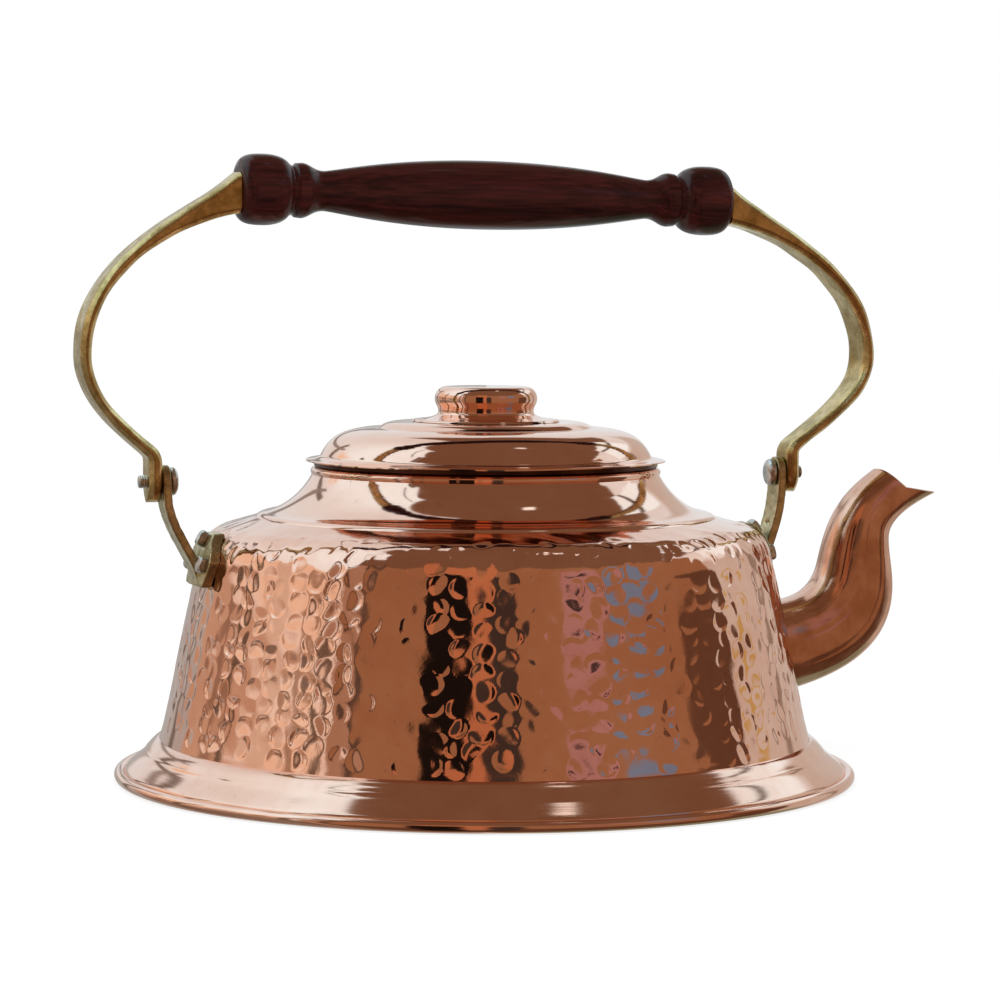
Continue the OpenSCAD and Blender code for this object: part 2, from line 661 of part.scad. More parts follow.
module lid_cover() {
    under = shifted([for (i = [2:len(lid_path) - 1]) lid_path[i]], lid_t);
    outline = concat(
        lid_path, [[stud_d / 2 + fit_gap, top_z - lid_t]],
        [for (i = [len(under) - 2:-1:0]) under[i]],
        [[dome_r - lid_t, flange_z], [flange_r - 0.4, flange_z]]);
    color(copper) rotate_extrude($fn = round_fn) polygon(outline);
}

module lid_collar() {
    r = neck_bead_c[0] - neck_bead_r - collar_gap;
    color(copper) rotate_extrude($fn = round_fn) polygon([
        [r - lid_t, seat_z - collar_depth], [r, seat_z - collar_depth], [r, seat_z], [neck_bead_c[0], seat_z],
        [neck_bead_c[0] + 0.4, seat_z + 0.4], [neck_bead_c[0] + 0.4, flange_z - fit_gap],
        [r - lid_t, flange_z - fit_gap]
    ]);
}

knob_foot_t = 0.6;
knob_base_z = top_z + fit_gap;
crown_z = top_z + knob_h;
waist_r = knob_waist_d / 2;
wide_r = knob_d / 2;
waist_z = knob_base_z + knob_h * 0.28;
wide_z = knob_base_z + knob_h * 0.65;
foot_curve = [[knob_foot_d / 2, knob_base_z + knob_foot_t], [waist_r + 4.6, knob_base_z + 0.9],
              [waist_r + 0.2, knob_base_z + 1.3], [waist_r, waist_z]];
waist_curve = [[waist_r, waist_z], [waist_r, waist_z + 1.8], [wide_r, wide_z - 2], [wide_r, wide_z]];
crown_curve = [[wide_r, wide_z], [wide_r, wide_z + 2], [wide_r - 1.4, crown_z], [wide_r - 3.6, crown_z]];
knob_path = concat(bez(foot_curve, curve_steps), bez(waist_curve, curve_steps, 1), bez(crown_curve, curve_steps, 1));

module lid_knob() {
    inner = shifted(knob_path, knob_t);
    hollow = [for (p = backwards(inner)) if (p[1] > knob_base_z + 1.2) p];
    color(copper) rotate_extrude($fn = round_fn) polygon(concat(
        [[knob_foot_d / 2, knob_base_z]], knob_path, [[0, crown_z], [0, crown_z - knob_t]], hollow,
        [[waist_r - knob_t, knob_base_z]]));
}

stud_head_r = 5;
stud_head_h = 1.4;
stud_end_z = top_z - lid_t - washer_t - nut_h - 1.4;
module knob_stud() {
    head_z = crown_z - knob_t - fit_gap - stud_head_h;
    color(brass) union() {
        translate([0, 0, head_z]) cylinder(r = stud_head_r, h = stud_head_h, $fn = small_fn);
        translate([0, 0, stud_end_z]) cylinder(r = stud_d / 2, h = head_z - stud_end_z + 0.5, $fn = small_fn);
    }
}

module knob_washer() {
    color(brass) translate([0, 0, top_z - lid_t - fit_gap - washer_t]) difference() {
        cylinder(r = washer_d / 2, h = washer_t, $fn = small_fn);
        translate([0, 0, -1]) cylinder(r = stud_d / 2 + fit_gap, h = washer_t + 2, $fn = small_fn);
    }
}

module knob_nut() {
    color(brass) translate([0, 0, top_z - lid_t - 2 * fit_gap - washer_t - nut_h]) difference() {
        cylinder(r = nut_flats / sqrt(3), h = nut_h, $fn = 6);
        translate([0, 0, -1]) cylinder(r = stud_d / 2 + fit_gap, h = nut_h + 2, $fn = small_fn);
    }
}

body_shell();
neck_rim_wire();
bottom_plate();
spout();
spout_solder();
lug(REAR);  // rear_lug
lug(FRONT);  // front_lug
lug_rivets(REAR);  // rear_lug_rivets
lug_rivets(FRONT);  // front_lug_rivets
lug_roves(REAR);  // rear_lug_roves
lug_roves(FRONT);  // front_lug_roves
arm(REAR);  // rear_arm
arm(FRONT);  // front_arm
grip();
pivot_screw(REAR);  // rear_pivot_screw
pivot_screw(FRONT);  // front_pivot_screw
lid_cover();
lid_collar();
lid_knob();
knob_stud();
knob_washer();
knob_nut();
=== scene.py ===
# %% [markdown]
# # A hand-hammered copper kettle
# The solids of the kettle come in as a fixed frame, in metres, with the origin at the centre of the flat
# bottom, +Z up and the spout along +X. This lesson dresses them: each step makes one piece as a surface
# worked out with numpy, or one finish out of shader nodes. Lengths in the lesson are millimetres, and one
# helper turns them into metres when a mesh is made.

# %% Load the frame
import math

import bpy
import numpy as np
from mathutils import Matrix


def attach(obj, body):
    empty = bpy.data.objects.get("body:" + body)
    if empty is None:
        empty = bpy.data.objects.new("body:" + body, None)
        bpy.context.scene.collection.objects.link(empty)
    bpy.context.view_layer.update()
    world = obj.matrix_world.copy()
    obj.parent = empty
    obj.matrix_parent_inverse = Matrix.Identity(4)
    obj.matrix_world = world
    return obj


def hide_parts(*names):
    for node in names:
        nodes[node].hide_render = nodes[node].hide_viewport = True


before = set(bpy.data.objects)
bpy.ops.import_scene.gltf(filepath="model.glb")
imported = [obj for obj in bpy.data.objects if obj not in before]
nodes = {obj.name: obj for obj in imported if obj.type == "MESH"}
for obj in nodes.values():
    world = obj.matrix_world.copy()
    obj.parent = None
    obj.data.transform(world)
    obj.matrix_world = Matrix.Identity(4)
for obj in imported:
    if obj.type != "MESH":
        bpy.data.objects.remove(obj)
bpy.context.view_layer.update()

MM = 0.001

# %% [markdown]
# ## The camera
# The kettle is seen a little from its rear side, from 1.07 m away and from a little below the height of its
# grip, with a long lens. The camera looks slightly down and past the kettle's axis, so no lens shift is
# needed. Its place is worked out from those few facts.

# %% Camera
CAMERA_TURN, CAMERA_ROLL = math.radians(18), math.radians(0.25)
CAMERA_AWAY = 1071
CAMERA_HEIGHT = 157.5
FOCAL_PIXELS = 3455
IMAGE_PIXELS = 1000
AXIS_PIXEL = 485.6
HORIZON_PIXEL = 269.7


def placed(name, data):
    """A new object in the scene with the given mesh, camera or lamp."""
    made = bpy.data.objects.new(name, data)
    bpy.context.scene.collection.objects.link(made)
    return made


def make_camera():
    """Puts the camera on a circle round the axis, turned so that axis and horizon fall on their pixels."""
    data = bpy.data.cameras.new("camera")
    data.sensor_width = 36
    data.lens = data.sensor_width * FOCAL_PIXELS / IMAGE_PIXELS
    data.clip_start, data.clip_end = 0.05, 40
    camera = placed("camera", data)
    camera.location = (-CAMERA_AWAY * math.sin(CAMERA_TURN) * MM, -CAMERA_AWAY * math.cos(CAMERA_TURN) * MM,
                       CAMERA_HEIGHT * MM)
    middle = IMAGE_PIXELS / 2
    yaw = CAMERA_TURN + math.atan((middle - AXIS_PIXEL) / FOCAL_PIXELS)
    pitch = math.atan((middle - HORIZON_PIXEL) / FOCAL_PIXELS)
    facing = Matrix.Rotation(-yaw, 3, "Z") @ Matrix.Rotation(math.pi / 2 - pitch, 3, "X")
    camera.rotation_euler = (facing @ Matrix.Rotation(CAMERA_ROLL, 3, "Z")).to_euler()
    bpy.context.scene.camera = camera
    return camera


camera = make_camera()
print("lens", round(camera.data.lens, 1), "mm")

# %% [markdown]
# ## Curves and grids
# Nearly every piece is a sheet that was spun, raised or rolled, so it is a grid: rows run along a profile
# or a path and columns run round it. A grid is cheap to work out as one array, its rows give clean
# highlights, and its volume tells whether its faces point outwards: if the volume comes out negative, the
# faces are turned round.

# %% Curve helpers
def cubic(points, t):
    """Cubic curve through the first and last of four points: each weighted by its Bernstein share at t."""
    a, b, c, d = np.array(points, float)
    return a * (1 - t) ** 3 + 3 * b * t * (1 - t) ** 2 + 3 * c * t**2 * (1 - t) + d * t**3


def bezier(points, count):
    """The cubic curve at count + 1 even steps of t from 0 to 1."""
    return cubic(points, np.linspace(0, 1, count + 1)[:, None])


def joined(*paths):
    """One path out of several that meet end to end, with each shared point kept once."""
    parts = [np.array(paths[0], float)] + [np.array(p, float)[1:] for p in paths[1:]]
    return np.vstack(parts)


def lengths(path):
    """Running length along a path, starting at 0."""
    return np.concatenate([[0], np.cumsum(np.linalg.norm(np.diff(path, axis=0), axis=1))])


def respaced(path, step):
    """The same path with points about one step apart, by interpolation over its running length."""
    run = lengths(path)
    at = np.linspace(0, run[-1], max(2, int(round(run[-1] / step)) + 1))
    return np.stack([np.interp(at, run, path[:, k]) for k in range(path.shape[1])], axis=1)


def around(count):
    """Even angles round a circle, from 0 to the last one before a full turn."""
    return np.linspace(0, 2 * math.pi, count, endpoint=False)


def leftwards(path):
    """Unit normals to the left of the direction of travel, for a path in a plane."""
    along = np.gradient(path, axis=0)
    along /= np.linalg.norm(along, axis=1, keepdims=True)
    return np.stack([-along[:, 1], along[:, 0]], axis=1)


def beneath(path, away, step):
    """The path shifted to its left by away, run backwards, with points about one step apart."""
    return respaced((path + away * leftwards(path))[::-1], step)


def smooth_step(low, high, x):
    """0 below low, 1 above high, and 3t^2 - 2t^3 between them."""
    t = np.clip((x - low) / (high - low), 0, 1)
    return t * t * (3 - 2 * t)


print("curve helpers ready")

# %% Mesh helpers
def volume_of(points, faces):
    """Signed volume of a closed mesh: the sum of a . (b x c) / 6 over its triangles."""
    a, b, c = (points[faces[:, k]] for k in range(3))
    total = np.einsum("ij,ij->i", a, np.cross(b, c)).sum()
    if faces.shape[1] == 4:
        d = points[faces[:, 3]]
        total += np.einsum("ij,ij->i", a, np.cross(c, d)).sum()
    return total / 6


def grid_faces(rows, columns, wrap_rows, wrap_columns):
    """Quads between neighbouring points of a grid whose points are numbered row by row."""
    i = np.arange(rows if wrap_rows else rows - 1)[:, None]
    j = np.arange(columns if wrap_columns else columns - 1)[None, :]
    down, right = (i + 1) % rows, (j + 1) % columns
    corners = [i * columns + j, i * columns + right, down * columns + right, down * columns + j]
    return np.stack([np.broadcast_to(c, (i.size, j.size)) for c in corners], axis=-1).reshape(-1, 4)


def put_mesh(name, points, quads, fans, crease):
    """A smooth mesh from points in millimetres; edges bent by more than crease degrees stay sharp."""
    mesh = bpy.data.meshes.new(name)
    mesh.from_pydata((points * MM).tolist(), [], quads.tolist() + fans.tolist())
    mesh.shade_smooth()
    mesh.set_sharp_from_angle(angle=math.radians(crease))
    return placed(name, mesh)


def grid_piece(name, grids, crease=40):
    """Closed shells from grids, each given as (points, whether its rows wrap). One that doesn't wrap gets a
    fan of triangles at both ends."""
    all_points, all_quads, all_fans, start = [], [], [], 0
    for points, wraps in grids:
        rows, columns = points.shape[:2]
        flat = points.reshape(-1, 3)
        quads = grid_faces(rows, columns, wraps, True)
        fans = np.zeros((0, 3), int)
        if not wraps:
            j = np.arange(columns)
            k = (j + 1) % columns
            low, high = len(flat), len(flat) + 1
            flat = np.vstack([flat, points[0].mean(axis=0), points[-1].mean(axis=0)])
            last = (rows - 1) * columns
            fans = np.vstack([np.stack([k, j, np.full(columns, low)], 1),
                              np.stack([last + j, last + k, np.full(columns, high)], 1)])
        if volume_of(flat, quads) + volume_of(flat, fans) < 0:
            quads, fans = quads[:, ::-1], fans[:, ::-1]
        all_points.append(flat)
        all_quads.append(quads + start)
        all_fans.append(fans + start)
        start += len(flat)
    piece = put_mesh(name, np.vstack(all_points), np.vstack(all_quads), np.vstack(all_fans), crease)
    triangles = 2 * sum(map(len, all_quads)) + sum(map(len, all_fans))
    size = np.ptp(np.vstack(all_points), axis=0)
    print(f"{name}: {triangles} triangles, {size.round(1).tolist()} mm")
    return piece


def turned(profile, columns, wobble=None):
    """Surface of revolution: x = r cos a, y = r sin a, z = z, with r and z moved by wobble(a, rows)."""
    angle = around(columns)
    r = np.repeat(profile[:, :1], columns, axis=1)
    z = np.repeat(profile[:, 1:2], columns, axis=1)
    if wobble is not None:
        out, up = wobble(angle[None, :], profile)
        r, z = r + out, z + up
    return np.stack([r * np.cos(angle), r * np.sin(angle), z], axis=-1)


slot_of = {}


def dress(piece, body, slot, *replaced):
    """Lets a piece move with its body, in its slot's finish, in place of the solids that it stands for."""
    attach(piece, body)
    slot_of[piece.name] = slot
    if replaced:
        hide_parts(*replaced)


print("mesh helpers ready")

# %% [markdown]
# ## Where the sheet runs
# The body is one copper sheet: a rolled foot, a flared skirt, a wall that narrows upwards, a rounded
# shoulder, a small raised ring and a hollow neck that ends in a rolled bead. One list of curves holds that
# outline, so the pieces that sit on the wall read their place from it: the spout's root, its solder and the
# lugs' rivets.

# %% Outline of the body
FOOT_BEAD, FOOT_BEAD_R = np.array([113.28, 1.8]), 1.69
NECK_BEAD, NECK_BEAD_R = np.array([52.9, 95.2]), 1.4
SHEET = 1.0
SIDES = (("rear", -1), ("front", 1))
ridge = bezier([(101.0, 12.9), (102.3, 12.6), (103.9, 11.3), (105.0, 9.7)], 20)
skirt = bezier([(105.25, 9.6), (105.9, 8.0), (107.7, 7.0), (111.2, 4.0)], 30)
wall = bezier([(100.4, 15), (97, 28), (93.5, 50), (89, 68)], 60)
shoulder = bezier([(89, 68), (88.2, 72.2), (86.9, 77.2), (79.5, 78.9)], 40)
ring_step = np.array([(71.4, 81.2), (71.1, 81.6), (70.6, 82.0), (69.9, 82.3), (69.1, 82.5)])
neck = bezier([(69.1, 82.5), (64.0, 82.9), (57.5, 87.6), (53.9, 94.3)], 40)
wall_and_shoulder = joined([(100.95, 12.9), (100.7, 13.9)], [(100.7, 13.9), (100.4, 15)], wall, shoulder)


def wall_radius(z):
    """Radius of the outside of wall and shoulder at height z, read off the outline."""
    return np.interp(z, wall_and_shoulder[:, 1], wall_and_shoulder[:, 0])


def arc(centre, radius, start, end, count):
    """Points on a circle round centre, from one angle to another in degrees."""
    t = np.radians(np.linspace(start, end, count + 1))[:, None]
    return centre + radius * np.concatenate([np.cos(t), np.sin(t)], axis=1)


print("outline runs", round(float(lengths(wall_and_shoulder)[-1]), 1), "mm from the foot to the shoulder")

# %% [markdown]
# ## The hammered wall
# A raised copper wall is planished: the smith works round it in columns and each blow leaves a shallow
# round dish. Where dishes meet, narrow crooked ridges stay. A bump texture can't give the small upside-down
# pictures that each dish reflects, so the dishes are real: every point of the sheet goes down to the lowest
# of the shallow cuts round it. The centres sit on a loose lattice, so only nine neighbours have to be
# looked at for each point. A few columns were struck softly and are nearly smooth.

# %% Hammer marks
DISH_COLUMNS, DISH_PITCH, DISH_START, DISH_ROWS = 88, 5.7, 3.2, 12
DISH_POWER = 2.8
SOFT_COLUMNS = ((56, 59), (63, 66), (70, 73), (20, 22), (5, 7), (33, 36))
rng = np.random.default_rng(11)
column_shift = rng.uniform(-0.5, 0.5, DISH_COLUMNS)
dish_side = rng.normal(0, 0.10, (DISH_COLUMNS, DISH_ROWS))
dish_along = rng.normal(0, 0.09, (DISH_COLUMNS, DISH_ROWS))
dish_radius = rng.uniform(2.9, 3.7, (DISH_COLUMNS, DISH_ROWS))
dish_depth = rng.uniform(0.09, 0.21, (DISH_COLUMNS, DISH_ROWS))
dish_depth[rng.random(dish_depth.shape) < 0.22] *= 0.4
dish_tilt = rng.normal(0, 0.068, (2, DISH_COLUMNS, DISH_ROWS)) * (dish_depth / 0.15) ** 0.5
for first, last in SOFT_COLUMNS:
    dish_depth[first:last] *= 0.38
    dish_tilt[:, first:last] *= 0.5


def hammered(angle, run, radius):
    """Depth of the marks: the least of depth * ((distance / radius)^2.8 - 1) over the nine nearest dishes,
    or 0, which gives nearly flat dishes with quick rims. Each leans by its tilt times the distance, and less
    towards its rim."""
    column_at = angle / (2 * math.pi) * DISH_COLUMNS
    row_at = (run - DISH_START) / DISH_PITCH
    depth = np.zeros(np.broadcast(column_at, row_at).shape)
    for side in (-1, 0, 1):
        column = np.floor(column_at).astype(int) + side
        wrapped = np.broadcast_to(column % DISH_COLUMNS, depth.shape)
        shift = column_shift[wrapped]
        for along in (-1, 0, 1):
            row = np.floor(row_at - shift).astype(int) + along
            kept = np.clip(row, 0, DISH_ROWS - 1)
            middle = column + 0.5 + dish_side[wrapped, kept]
            across = (column_at - middle) * 2 * math.pi * radius / DISH_COLUMNS
            off = (row_at - shift - row - 0.5 - dish_along[wrapped, kept]) * DISH_PITCH
            near = (across**2 + off**2) / dish_radius[wrapped, kept] ** 2
            lean = dish_tilt[0, wrapped, kept] * across + dish_tilt[1, wrapped, kept] * off
            bowl = (dish_depth[wrapped, kept] - lean) * (near ** (DISH_POWER / 2) - 1)
            depth = np.minimum(depth, np.where((row == kept) & (near < 1), bowl, 0))
    return depth


def uneven(angle, run, size, seed, most_turns=15, pitches=(18, 60)):
    """Slow waves left by raising the sheet: size times the mean of seven sines of angle and length."""
    waves = np.random.default_rng(seed)
    total = 0
    for turns, pitch, phase in zip(waves.integers(2, most_turns, 7), waves.uniform(*pitches, 7),
                                   waves.uniform(0, 6.28, 7)):
        total = total + np.sin(turns * angle + 6.28 * run / pitch + phase)
    return size * total / 7


print(DISH_COLUMNS * DISH_ROWS, "hammer marks,", round(2 * math.pi * 95 / DISH_COLUMNS, 1),
      "mm apart round the wall")

# %% The wall and shoulder as one hammered sheet
WALL_COLUMNS = 1080
hammered_path = respaced(wall_and_shoulder, 0.45)
smooth_top = respaced(np.array([wall_and_shoulder[-1], ring_step[0]]), 1.2)
wall_outer = joined(hammered_path, smooth_top)
wall_run = lengths(wall_outer)
wall_out = -leftwards(wall_outer)


def planish(angle, profile):
    """Moves each row along its normal by the hammer marks and slow waves, which fade out at both edges."""
    run, radius = wall_run[:, None], wall_outer[:, :1]
    slow = uneven(angle, run, 0.10, 3) + uneven(angle, run, 0.09, 4, 44, (12, 22))
    deep = hammered(angle, run, radius) + slow * smooth_step(0, 6, run)
    deep = deep * smooth_step(0, 0.9, run) * (1 - smooth_step(wall_run[-1] - 4, wall_run[-1], run))
    return deep * wall_out[:, :1], deep * wall_out[:, 1:]


beaten = turned(wall_outer, WALL_COLUMNS, planish)
across = np.roll(beaten, -1, axis=1) - np.roll(beaten, 1, axis=1)
beaten_normals = np.cross(across, np.gradient(beaten, axis=0))
beaten_normals /= np.linalg.norm(beaten_normals, axis=2, keepdims=True)


def wall_band(name, first, last):
    """One closed band of the sheet: its outer rows, then coarse inner rows one sheet thickness further in.
    The shading normals come from the whole grid, so the joint of two bands doesn't show in reflections."""
    inside = respaced((wall_outer - SHEET * wall_out)[first:last][::-1], 8)
    grid = np.concatenate([beaten[first:last], turned(inside, WALL_COLUMNS)])
    piece = grid_piece(name, [(grid, True)], crease=50)
    normals = np.zeros((len(piece.data.vertices), 3))
    normals[:beaten[first:last, :, 0].size] = beaten_normals[first:last].reshape(-1, 3)
    piece.data.normals_split_custom_set_from_vertices(normals.tolist())
    dress(piece, "kettle", "hammered_copper", "body_shell")


half_way = len(wall_outer) // 2
wall_band("hammered_wall_low", 0, half_way + 1)
wall_band("hammered_wall_high", half_way, len(wall_outer))

# %% [markdown]
# ## The rolled foot and the neck
# Below the wall the sheet flares out and its edge is rolled over the bottom plate's edge. Above the
# shoulder it is spun smooth and its edge is rolled round a wire. Both are surfaces of revolution, split
# from the wall at the two creases where the real sheet has a hard line too. A little slow unevenness keeps
# their reflections from looking machined.

# %% Foot
foot_top = joined(ridge, [ridge[-1], skirt[0]], skirt, [skirt[-1], (111.55, 3.6), (111.7, 3.0)])
foot_outer = np.vstack([respaced(foot_top, 0.4), arc(FOOT_BEAD, FOOT_BEAD_R, 152, -135, 34)])
foot_slot = np.array([(112.1, 1.15), (113.1, 1.15), (113.1, 2.35), (111.5, 2.35)])
foot_inner = beneath(foot_top, -SHEET, 2)
foot_inner = foot_inner[foot_inner[:, 1] > FOOT_BEAD[1] + 0.8]
foot_loop = np.vstack([foot_outer, foot_slot, foot_inner])


def spun_foot(angle, profile):
    """Slow waves on the skirt, a little more up than out, that fade at its top and at the bead."""
    run = lengths(profile)[:, None]
    gentle = smooth_step(0, 3, run) * (1 - smooth_step(12, 15, run))
    deep = uneven(angle, run, 0.12, 5) * gentle
    return deep * 0.6, deep * 0.8


rolled_foot = grid_piece("rolled_foot", [(turned(foot_loop, 480, spun_foot), True)])
dress(rolled_foot, "kettle", "spun_copper", "body_shell")

# %% Neck
neck_path = joined(ring_step, neck)
neck_outer = joined(respaced(neck_path, 0.5), arc(NECK_BEAD, NECK_BEAD_R, -40, 205, 30))
neck_inner = beneath(neck_path, SHEET, 2)
neck_inner = neck_inner[neck_inner[:, 1] < NECK_BEAD[1] - 1.8]
neck_loop = np.vstack([neck_outer, neck_inner])


def spun_neck(angle, profile):
    """Slow waves on the hollow of the neck, and fine dents of the roller on its bead."""
    run = lengths(profile)[:, None]
    hollow = smooth_step(3, 7, run) * (1 - smooth_step(17, 20, run))
    bead = smooth_step(21, 22.5, run) * (1 - smooth_step(26, 28, run))
    worn = np.sin(37 * angle + 5 * np.sin(9 * angle)) * np.sin(23 * angle + 2) * 0.07
    waves = uneven(angle, run, 0.10, 8) * hollow * 0.6
    return waves + worn * bead, waves


neck_sheet = grid_piece("neck_sheet", [(turned(neck_loop, 480, spun_neck), True)])
dress(neck_sheet, "kettle", "spun_copper", "body_shell")

# %% [markdown]
# ## The spout
# The spout is a folded and soldered tube of copper sheet that swells at its root, bends up and ends in a
# beak. Its middle plane holds two curves, its back and its front. A row of the grid is the section between
# a point of the back and a point of the front, and the first row lies on the wall itself. The sides were
# beaten flat in long facets, and between the facets run creases.

# %% Spout curves
ROOT_TOP, ROOT_LOW, PEAK, TIP = 51.8, 23.0, (132.5, 94.0), (152.48, 86.0)
ROOT_W, MOUTH_W, DIP = 14.2, 8.4, 2.7
CREASES = np.array([0.95, 1.42, 1.9, 2.4])
back_curve = [((0.0, 0.42), [(wall_radius(ROOT_TOP), ROOT_TOP), (104, 52.2), (111.5, 54.5), (113.6, 64.5)]),
              ((0.42, 1.0), [(113.6, 64.5), (115.6, 74.5), (119, 85), PEAK])]
front_curve = [((0.0, 0.5), [(wall_radius(ROOT_LOW), ROOT_LOW), (111.5, 26.3), (135.2, 32.2),
                             (136.8, 53.5)]),
               ((0.5, 0.72), [(136.8, 53.5), (137.3, 61), (135.2, 66.5), (135.4, 72)]),
               ((0.72, 1.0), [(135.4, 72), (135.7, 77.6), (TIP[0] - 9.0, TIP[1] - 3.8), TIP])]


def along(curves, u):
    """Points of a chain of cubic curves at u, where each curve covers its own stretch of 0 to 1."""
    points = np.zeros((len(u), 2))
    for (low, high), corners in curves:
        t = np.clip((u - low) / (high - low), 0, 1)[:, None]
        inside = (u >= low) & (u <= high)
        points[inside] = cubic(corners, t)[inside]
    return points


def on_wall(angle, grow):
    """The root's outline: an upright ellipse in y and z, widened by grow, with x from the wall."""
    z = (ROOT_TOP + ROOT_LOW) / 2 + ((ROOT_TOP - ROOT_LOW) / 2 + grow) * np.cos(angle)
    y = (ROOT_W + grow) * np.sin(angle)
    return np.stack([np.sqrt((wall_radius(z) + 0.03) ** 2 - y * y), y, z], axis=-1)


def tube_section(angle, flat):
    """Round the tube: a superellipse with power 2.5 whose sides are drawn towards the chords between the
    creases by the share called flat, so that each side gets three long facets."""
    fold = np.abs(np.angle(np.exp(1j * angle)))
    share = flat * ((fold > CREASES[0]) & (fold < CREASES[-1]))

    def curve(a):
        return np.sign(np.cos(a)) * np.abs(np.cos(a)) ** 0.8, np.abs(np.sin(a)) ** 0.8

    round_part, chord = curve(fold), [np.interp(fold, CREASES, part) for part in curve(CREASES)]
    c, s = (a + (b - a) * share for a, b in zip(round_part, chord))
    return c, s * np.sign(np.sin(angle))


def creased(angle, u):
    """Depth of the folds: a narrow valley at each crease, shallower at the outer two, faded at both ends."""
    fold = np.abs(np.angle(np.exp(1j * angle)))
    total = np.zeros(np.broadcast(angle, u).shape)
    for place, depth in zip(CREASES, (0.12, 0.34, 0.30, 0.16)):
        total = total + depth * np.exp(-(((fold - place) / 0.06) ** 2))
    return total * smooth_step(0.04, 0.14, u) * (1 - smooth_step(0.7, 0.9, u))


def spout_rows(u, angle, inset):
    """Sections between back and front: the middle, half the chord towards the back times c, and half the
    width times s. Near the mouth the sides dip in a flat V and the front is pinched to a beak."""
    back, front = along(back_curve, u), along(front_curve, u)
    chord = front - back
    length = np.linalg.norm(chord, axis=1)
    d = chord / length[:, None]
    late = np.clip((u - 0.65) / 0.35, 0, None)[:, None] ** 2
    flat = 0.75 * (smooth_step(0.04, 0.14, u) * (1 - smooth_step(0.75, 0.95, u)))[:, None]
    c, s = tube_section(angle[None, :], flat)
    cut = inset + creased(angle[None, :], u[:, None])
    half = length[:, None] / 2 - cut
    width = (ROOT_W + (MOUTH_W - ROOT_W) * u)[:, None] - cut
    share = (1 - c) / 2
    beak = 1 - 0.36 * late * share**1.5
    dip = DIP * late * np.minimum(share / 0.4, (1 - share) / 0.6)
    middle = (back + front) / 2
    x = middle[:, :1] - half * c * d[:, :1] + dip * d[:, 1:]
    z = middle[:, 1:] - half * c * d[:, 1:] - dip * d[:, :1]
    points = np.stack([x, width * s * beak, z], axis=-1)
    root = on_wall(angle, -inset)[None]
    mix = np.clip(u * 32, 0, 1)[:, None, None]
    return root * (1 - mix) + points * mix


print("spout curves ready")

# %% Spout mesh
spout_angle = around(288)
outer_rows = spout_rows(np.linspace(0, 1, 150), spout_angle, 0)
inner_rows = spout_rows(np.linspace(1, 0, 60), spout_angle, SHEET)
rim_rows = (outer_rows[-1:] + inner_rows[:1]) / 2 + (outer_rows[-1:] - outer_rows[-2:-1]) * 0.6
spout_grid = np.concatenate([outer_rows, rim_rows, inner_rows])
spout_skin = grid_piece("spout_skin", [(spout_grid, True)], crease=60)
dress(spout_skin, "kettle", "satin_copper", "spout")

# %% [markdown]
# ## Solder round the spout's root
# Soft solder was run round the root by hand, so its bead is uneven: thick in one place, wiped thin in
# another. It is a small round-topped band carried along the root's outline on the wall, with its width and
# height varied slowly.

# %% Solder bead
solder_angle = around(240)
solder_width = 1.5 + 0.35 * np.sin(5 * solder_angle + 1) + 0.2 * np.sin(13 * solder_angle)
solder_height = 1.3 + 0.35 * np.sin(4 * solder_angle + 2) + 0.15 * np.sin(17 * solder_angle)
corner = on_wall(solder_angle, -0.2)
outward = corner / np.linalg.norm(corner[:, :2], axis=1, keepdims=True) * np.array([1, 1, 0])
spread = on_wall(solder_angle, 1.0) - on_wall(solder_angle, 0)
band_rows = []
for turn in around(14):
    sideways = (0.5 - 0.5 * math.cos(turn)) * solder_width
    height = np.sin(turn / 2) ** 0.8 * np.sin(min(turn, math.pi)) if turn < math.pi else -0.15
    band_rows.append(corner + spread * sideways[:, None] + outward * (height * solder_height)[:, None])
solder_band = grid_piece("solder_band", [(np.array(band_rows), True)], crease=80)
dress(solder_band, "kettle", "solder", "spout_solder")

# %% [markdown]
# ## The lid
# The lid is spun from one thin sheet: a flat disc in the middle, a soft step, a shallow dome and a narrow
# flange whose edge is folded under. It is a surface of revolution again, with the folded edge drawn as part
# of the outline, so that its thin bright line catches the light as on the real thing.

# %% Lid
LID_TOP, LID_SHEET, LID_HOLE = 110.6, 0.9, 2.03
disc_edge = bezier([(27.5, LID_TOP), (30.5, LID_TOP), (32.0, 109.7), (33.5, 108.7)], 24)
dome = bezier([(34.7, 108.75), (43.5, 108.3), (48.4, 106.5), (51.4, 99.9)], 60)
flange_fold = [(51.9, 99.45), (52.8, 99.25), (54.6, 98.98), (55.6, 98.86), (55.86, 98.62), (55.8, 98.4),
               (55.4, 98.3)]
lid_outer = respaced(joined([(LID_HOLE, LID_TOP)], disc_edge[:1], disc_edge, [(34.1, 108.66)], dome,
                            flange_fold), 0.4)
dome_inside = joined(disc_edge, dome)
dome_inside = (dome_inside - LID_SHEET * leftwards(dome_inside))[::-1]
dome_inside = dome_inside[dome_inside[:, 1] > 99.6]
lid_loop = np.vstack([lid_outer, [(50.5, 98.3)], respaced(dome_inside, 2),
                      [(LID_HOLE, LID_TOP - LID_SHEET)]])


def spun_lid(angle, profile):
    """Slow waves of 0.05 mm on the dome and a wavy flange edge, both fading out at the disc and the hole."""
    r = profile[:, :1]
    dome_part = smooth_step(30, 38, r) * (profile[:, 1:] > 98.8)
    edge = smooth_step(52, 55, r) * 0.10 * np.sin(5 * angle + 1.3 * np.sin(3 * angle))
    return np.zeros_like(r * angle), uneven(angle, r * 1.0, 0.05, 21) * dome_part + edge


lid_skin = grid_piece("lid_skin", [(turned(lid_loop, 480, spun_lid), True)])
dress(lid_skin, "lid", "spun_copper", "lid_cover")

